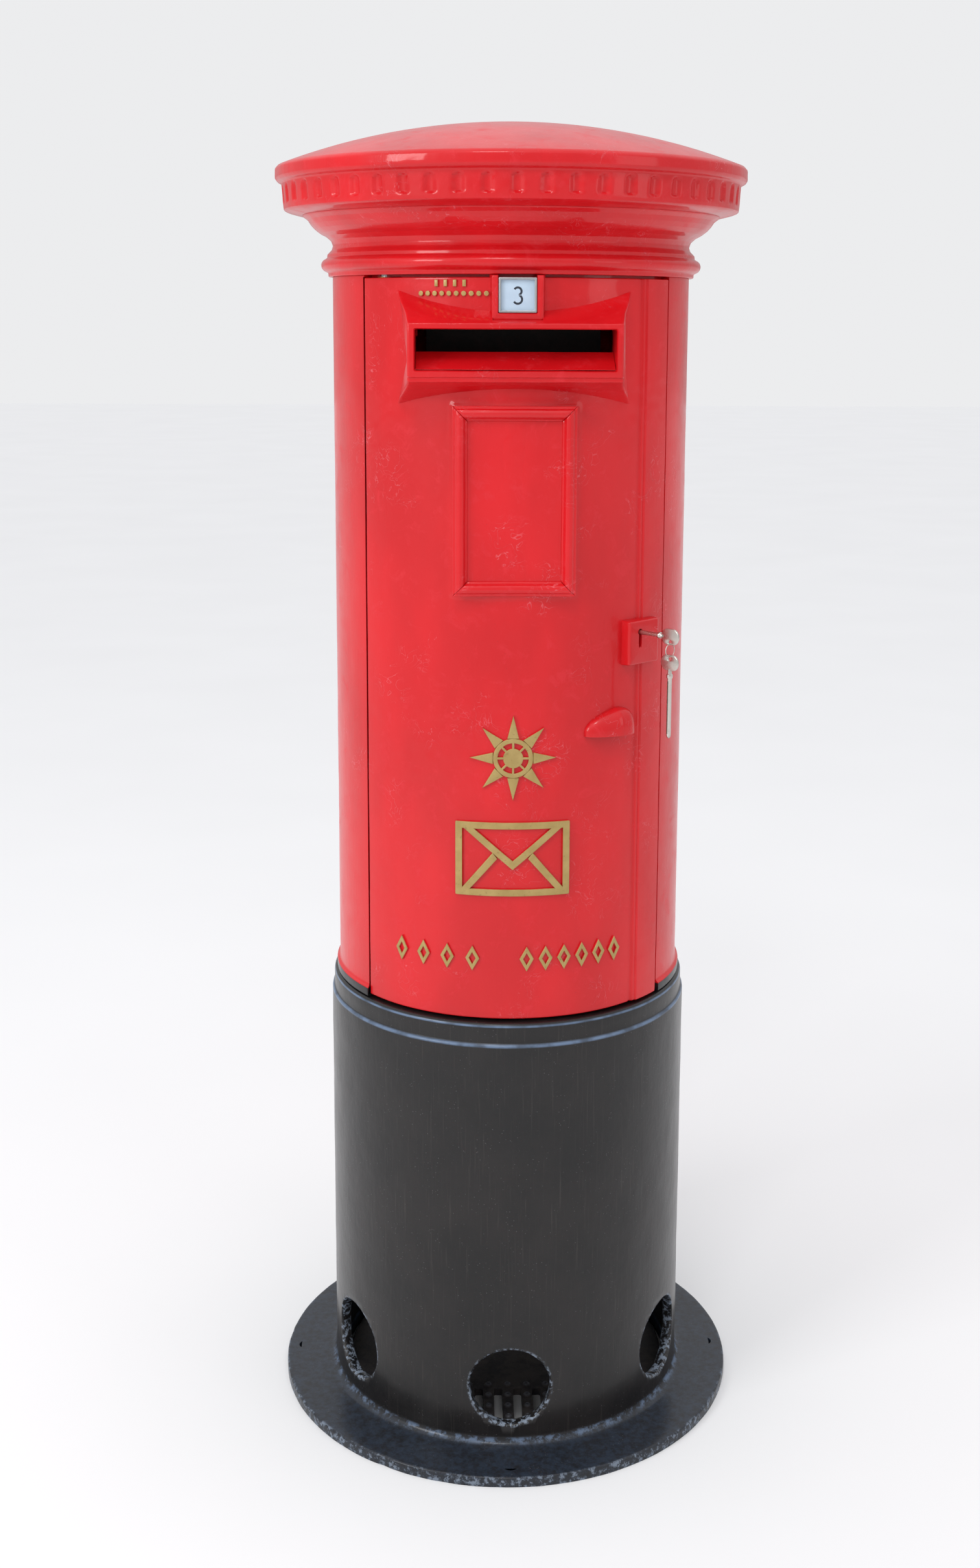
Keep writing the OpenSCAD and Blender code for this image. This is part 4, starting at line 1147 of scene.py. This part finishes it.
boss_half = 28.5
boss_face = 253
boss_z0 = box("lock_boss")[0].z
boss_z1 = box("lock_boss")[1].z
boss = bmesh.new()
sections = []
for y, out in [(boss_face, 2.6), (boss_face - 0.5, 1.4), (boss_face - 1.6, 0.5), (boss_face - 3.2, 0.1),
               (boss_face - 6, 0), (236, -1.0)]:
    outline = rounded([(-boss_half + out, boss_z0 + out, 2.5), (boss_half - out, boss_z0 + out, 2.5),
                       (boss_half - out, boss_z1 - out, 2.5), (-boss_half + out, boss_z1 - out, 2.5)],
                       parts=9)
    section = []
    for p in outline:
        lift = 0.5 * lumps((p.x, y, p.y), 16, 22)
        side = y if y > 240 else sqrt((barrel_r - 4) ** 2 - p.x ** 2)
        section.append(lock_place(p.x + lift * 0.6, side - abs(lift) * 0.5, p.y + lift * 0.6))
    sections.append(section)
loft(boss, sections)
boss = made("lock_boss_casting", boss, 50)
cut(boss, keyhole_tool)
red_paint.put_on(boss)
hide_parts("lock_boss")
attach(boss, "door")

brass = add_steel("dull_brass", rgb(150, 118, 56), rgb(198, 164, 92), 0.3)
zinc = add_steel("zinc_plated_steel", rgb(126, 128, 130), rgb(178, 180, 178), 0.36, 1.0)
bright_steel.put_on(nodes["lock_case"], nodes["lock_cover"], nodes["lever_spring"], nodes["lock_bolt"],
                    nodes["lock_keep"], nodes["hinge_pins"])
brass.put_on(nodes["lock_levers"], nodes["hinge_washers"])
zinc.put_on(*(nodes[n] for n in ("cap_bolts", "barrel_bolts", "barrel_nuts", "collar_bolts", "guard_bolts",
                                 "stop_screws", "keep_screws", "hood_screws", "guard_screws", "hinge_screws",
                                 "lock_screws")))
red_paint.put_on(nodes["door_stops"], nodes["upper_hinge_lug"], nodes["lower_hinge_lug"])


# ---- Keys ---------------------------------------------------------------------
# One nickel-plated key is left in the lock, and its spare hangs from it by a split ring.
# Each has an oval bow pierced for the ring, a collar and a round stem.

bow_y = 304
wire_r = 0.75
ring_low, ring_high = box("key_ring")
ring_r = (ring_high.z - ring_low.z) / 2 - wire_r
ring_z = (ring_high.z + ring_low.z) / 2
spare_low, spare_high = box("spare_key")
bow_w = 29
bow_h = 21
spare_z = spare_high.z - bow_h / 2


def oval(width, height, sides=48):
    """A bow's outline: two half circles joined by straight sides."""
    flat = (width - height) / 2
    return [(height / 2 * cos(a) + (flat if cos(a) > 0 else -flat), height / 2 * sin(a))
            for a in map(radians, whole_turn(sides))]


def bow(hole_x, hole_z):
    """A bow in its own plane, X along its length."""
    return flat_shape("bow", [oval(bow_w, bow_h), circle(3.0, hole_x, hole_z, 24)[::-1]], 2.6, 0.7)


def stem(bm, start, end, radii):
    """Adds a turned stem along a line; radii are (share of the length, radius)."""
    along = end - start
    facing = along.to_track_quat("Z", "Y").to_matrix()
    sections = []
    for share, radius in radii:
        centre = start + along * share
        rim = [Vector((cos(a), sin(a), 0)) * radius for a in map(radians, whole_turn(24))]
        sections.append([centre + facing @ p for p in rim])
    loft(bm, sections)


def absorb(bm, other):
    """Adds another mesh to this one."""
    mesh = bpy.data.meshes.new("part")
    other.to_mesh(mesh)
    bm.from_mesh(mesh)
    bpy.data.meshes.remove(mesh)
    other.free()


key_bow = moved(bow(0, -7), 0, 1.3, 0)
for vertex in key_bow.verts:
    vertex.co = lock_place(key_x + vertex.co.y, bow_y + vertex.co.x, key_z + vertex.co.z)
key = key_bow
stem(key, lock_place(key_x, 201, key_z), lock_place(key_x, bow_y - 12, key_z),
     [(0, 1.8), (0.01, 2.7), (0.02, 2.9), (0.9, 2.9), (0.91, 4.0), (0.93, 4.3), (0.955, 4.0), (0.965, 3.1),
      (1.0, 2.6)])
bit = flat_shape("bit", [[(0, -1), (14.5, -1), (14.5, -8), (11, -8), (11, -12.6), (14.5, -12.6), (14.5, -13),
                          (0, -13), (0, -9.5), (4, -9.5), (4, -6), (0, -6)]], 2.4, 0.25)
for vertex in bit.verts:
    vertex.co = lock_place(key_x + vertex.co.y + 1.2, 201 + vertex.co.x, key_z + vertex.co.z)
absorb(key, bit)
key = made("turned_key", key)

split_ring = bmesh.new()
sections = []
for angle in steps(0, 640, 6):
    offset = (angle / 640 - 0.5) * 1.0
    centre = Vector((cos(radians(angle)), sin(radians(angle))))
    section = []
    for around in map(radians, whole_turn(10)):
        r = ring_r + wire_r * 0.62 * cos(around)
        section.append(lock_place(key_x + centre.x * r, bow_y + offset * 0.8 + wire_r * 0.62 * sin(around),
                                  ring_z + centre.y * r))
    sections.append(section)
loft(split_ring, sections)
split_ring = made("split_ring", split_ring)

spare = moved(bow(0, 5.5), 0, 1.3, 0)
for vertex in spare.verts:
    vertex.co = lock_place(key_x + vertex.co.y, bow_y + vertex.co.x, spare_z + vertex.co.z)
stem(spare, lock_place(key_x, bow_y, spare_z - 8), lock_place(key_x, bow_y, spare_low.z),
     [(0, 2.4), (0.07, 3.0), (0.08, 4.0), (0.10, 4.3), (0.13, 4.0), (0.145, 3.1), (0.96, 3.1), (0.985, 2.4),
      (1, 1.0)])
spare = made("hanging_key", spare)
groove = bmesh.new()
for side in (-1, 1):
    sections = []
    for z in (spare_z - 24, spare_low.z + 6):
        sections.append([lock_place(key_x + side * x, bow_y + y, z) for x, y in
                         [(1.6, -0.7), (4, -0.9), (4, 0.9), (1.6, 0.7)]])
    loft(groove, sections)
cut(spare, groove)

nickel = add_steel("nickel_plate", rgb(170, 165, 158), rgb(222, 218, 210), 0.18, 1.2)
nickel.put_on(key, split_ring, spare)
for piece, node, body in ((key, "door_key", "key"), (split_ring, "key_ring", "key_ring"),
                          (spare, "spare_key", "spare_key")):
    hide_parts(node)
    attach(piece, body)


# ---- Pull ---------------------------------------------------------------------
# The pull is a scoop cast on the door below the lock: fingers go up behind it from below.
# Its left end runs out to a point and its right end is blunt.

pull_az = 31.5
pull_z = 1002
pull_half = 38
pull_out = 20.5
pull_rise = 34


def scoop(along):
    """Share of the full height at a place along the pull, from 0 at the tip to 1."""
    return min(1.0, 1.2 * max(along, 0.0) ** 0.38) * max(0.0, 1 - along ** 11) ** 0.5


pull = bmesh.new()
sections = []
for along in merge_stops(steps(0.012, 0.9, 0.035) + [0.93, 0.955, 0.975, 0.988, 0.996], 0.004):
    size = scoop(along)
    x = (along * 2 - 1) * pull_half
    section = []
    for angle in steps(-8, 98, 8.9):
        a = radians(angle)
        outer_y = pull_out * size * cos(a) ** 0.6 if cos(a) > 0 else 0
        section.append((outer_y, pull_rise * size * sin(a) if sin(a) > 0 else -0.6 * size))
    inside = []
    for angle in steps(98, -8, 8.9):
        a = radians(angle)
        shell = max(size - 0.24, size * 0.2)
        inner_y = pull_out * shell * cos(a) ** 0.6 if cos(a) > 0 else 0
        inside.append((inner_y, (pull_rise * shell * sin(a)) if sin(a) > 0 else -0.6 * size))
    ring = []
    for y, z in section + inside:
        lift = 0.5 * lumps((x, y, z), 13, 23)
        point = Vector((x, -sqrt(max(barrel_r - 1.5, 1) ** 2 - x * x) - y * (1 + lift * 0.04),
                        pull_z + z + lift * 0.5 * (z > 1)))
        ring.append(Matrix.Rotation(radians(pull_az), 3, "Z") @ point)
    sections.append(ring)
loft(pull, sections)
pull = made("scoop_pull", pull, 60)
red_paint.put_on(pull)
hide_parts("door_pull")
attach(pull, "door")


# ---- Ornaments ----------------------------------------------------------------
# Raised ornaments are cast on the door and their faces gilded by hand: an eight-pointed
# rosette, an envelope, two rows of lozenges and small studs beside the tablet.

def gilded(name, node, shapes, lift, azimuth=0.0, z=0.0, edge=0.9):
    """Bends flat shapes on the door's curve, by casting them straight back onto it."""
    whole = bmesh.new()
    for polygons, turn_to in shapes:
        flat = flat_shape(name, polygons, lift + 3.0, edge)
        xs = [v.co.x for v in flat.verts]
        for x in steps(min(xs), max(xs), 3.0)[1:-1]:
            bmesh.ops.bisect_plane(flat, geom=flat.verts[:] + flat.edges[:] + flat.faces[:],
                                   plane_co=(x, 0, 0),
                                   plane_no=(1, 0, 0), dist=0.01)
        for vertex in flat.verts:
            x, y = vertex.co.x, vertex.co.y
            radius = barrel_r - 3.0 - y
            uneven = 0.25 * lumps((x, azimuth + turn_to, vertex.co.z), 9, 24)
            point = Vector((x + uneven * 0.6, -sqrt((radius + uneven * 0.4) ** 2 - x * x),
                            z + vertex.co.z + uneven * 0.6))
            vertex.co = Matrix.Rotation(radians(azimuth + turn_to), 3, "Z") @ point
        absorb(whole, flat)
    piece = made(name, whole, 30)
    gilding.put_on(piece)
    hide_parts(node)
    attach(piece, "door")


def add_gilding():
    gilt = Finish("gilded_red_paint", Specular_IOR_Level=0.5, Coat_Roughness=0.12)
    place = gilt.place
    x, y = place.part("X"), place.part("Y")
    radius = (x * x + y * y).math("SQRT", x * x + y * y)
    rough = place.grain(4.5, 3.0, 0.6)
    face = (radius + rough * 1.4).rise(barrel_r + 2.3, barrel_r + 2.9)
    cloud = place.grain(16, 3.0)
    gold = cloud.tint(rgb(150, 124, 66), rgb(188, 163, 104))
    gold = (rough.rise(0.6, 0.75) * 0.5).tint(gold, rgb(120, 92, 50))
    gilt.vary(Base_Color=face.tint(rgb(206, 26, 38), gold), Metallic=face * 0.35,
              Roughness=0.3 + face * 0.16 + cloud * 0.1, Coat_Weight=0.5 - face * 0.35)
    gilt.bump(rough * 0.12 + place.grain(1.2, 2.0) * 0.03)
    return gilt


gilding = add_gilding()


def lozenge(width, height):
    return [(-width / 2, 0), (0, -height / 2), (width / 2, 0), (0, height / 2)]


rosette_z = (box("rosette")[0].z + box("rosette")[1].z) / 2
rays = [[[Matrix.Rotation(radians(45 * i), 2) @ Vector(p) for p in [(-7.6, 26), (7.6, 26), (0, 56)]]]
        for i in range(8)]
spokes = [[[Matrix.Rotation(radians(45 * i), 2) @ Vector(p)
            for p in [(-1.5, 12), (1.5, 12), (1.5, 21), (-1.5, 21)]]]
          for i in range(8)]
gilded("gilded_rosette", "rosette",
       [([circle(26, sides=56), circle(20, sides=56)[::-1]], 0), ([circle(13, sides=40)], 0)]
       + [(ray, 0) for ray in rays] + [(spoke, 0) for spoke in spokes], 3.6, z=rosette_z)

badge_z = (box("letter_badge")[0].z + box("letter_badge")[1].z) / 2
badge_w = 149
badge_h = 99
band = 9
half_w = badge_w / 2
half_h = badge_h / 2
border = [rounded([(-half_w, -half_h, 2), (half_w, -half_h, 2), (half_w, half_h, 2), (-half_w, half_h, 2)]),
          [(-half_w + band, -half_h + band), (-half_w + band, half_h - band), (half_w - band, half_h - band),
           (half_w - band, -half_h + band)]]
flap = [(-half_w + 2, half_h - 1), (-half_w + 15, half_h - 1), (0, -2), (half_w - 15, half_h - 1),
        (half_w - 2, half_h - 1), (0, -14)]
folds = [[(s * (half_w - 2), -half_h + 2), (s * (half_w - 13), -half_h + 2), (s * 20, 1), (s * 26, 9)]
         for s in (-1, 1)]
gilded("gilded_envelope", "letter_badge", [(border, 0), ([flap], 0), ([folds[0]], 0), ([folds[1]], 0)], 3.6,
       z=badge_z)

plaque_z = (box("plaques_left")[0].z + box("plaques_left")[1].z) / 2
for name, node, count, az0, az1 in [("gilded_lozenges_left", "plaques_left", 4, -36.8, -12.4),
                                    ("gilded_lozenges_right", "plaques_right", 6, 4.5, 34.2)]:
    shapes = [([lozenge(19, 34), lozenge(9, 16)[::-1]], az0 + (az1 - az0) * i / (count - 1))
              for i in range(count)]
    gilded(name, node, shapes, 3.1, z=plaque_z)
bars = [([[(-2.3, 8.3), (2.3, 8.3), (2.3, 16.7), (-2.3, 16.7)]], -23.8 + 2.9 * i) for i in range(4)]
dots = [([circle(3.3, sides=20)], -28.8 + 2.26 * i) for i in range(10)]
gilded("gilded_studs", "top_studs", bars + dots, 2.5, z=1565.5, edge=0.7)


# ---- Floor and light ----------------------------------------------------------
# A pale floor under an overcast sky, with a strong lamp on the left, a weak one on the right
# and a small one overhead. What the eye sees behind the box is as pale as the floor.

floor_mesh = bpy.data.meshes.new("floor")
floor_mesh.from_pydata([(-30, -30, 0), (30, -30, 0), (30, 30, 0), (-30, 30, 0)], [], [(0, 1, 2, 3)])
floor = bpy.data.objects.new("floor", floor_mesh)
bpy.context.scene.collection.objects.link(floor)
pale = Finish("pale_floor", Roughness=0.9, Specular_IOR_Level=0.1)
pale.vary(Base_Color=pale.place.grain(700, 2.0).tint((0.84, 0.84, 0.84, 1), (0.88, 0.88, 0.88, 1)))
pale.put_on(floor)

world = bpy.data.worlds.new("sky")
bpy.context.scene.world = world
world.use_nodes = True
sky_tree = world.node_tree
direction = Shade(sky_tree, sky_tree.nodes.new("ShaderNodeTexCoord").outputs["Generated"])
height = direction.part("Z")
sky = height.rise(-0.05, 0.9).tint((0.68, 0.68, 0.69, 1), (1.45, 1.46, 1.5, 1))
camera_ray = Shade(sky_tree, sky_tree.nodes.new("ShaderNodeLightPath").outputs["Is Camera Ray"])
backdrop = camera_ray.tint(sky, (1.12, 1.125, 1.14, 1))
sky_tree.links.new(backdrop.socket, sky_tree.nodes["Background"].inputs["Color"])
sky_tree.nodes["Background"].inputs["Strength"].default_value = 0.75


def lamp(name, power, size, place, aim, colour=(1, 1, 1)):
    data = bpy.data.lights.new(name, "AREA")
    data.energy = power
    data.size = size
    data.color = colour
    light = bpy.data.objects.new(name, data)
    light.location = place
    light.rotation_euler = (Vector(aim) - Vector(place)).to_track_quat("-Z", "Y").to_euler()
    bpy.context.scene.collection.objects.link(light)


lamp("left_lamp", 62, 1.5, (-3.2, -2.6, 2.6), (0, 0, 1.1))
lamp("right_lamp", 8, 1.4, (3.4, -2.2, 2.0), (0, 0, 1.0))
lamp("sky_lamp", 26, 0.8, (-0.5, -2.4, 4.2), (0, 0, 1.2))
bpy.context.scene.view_settings.view_transform = "Standard"
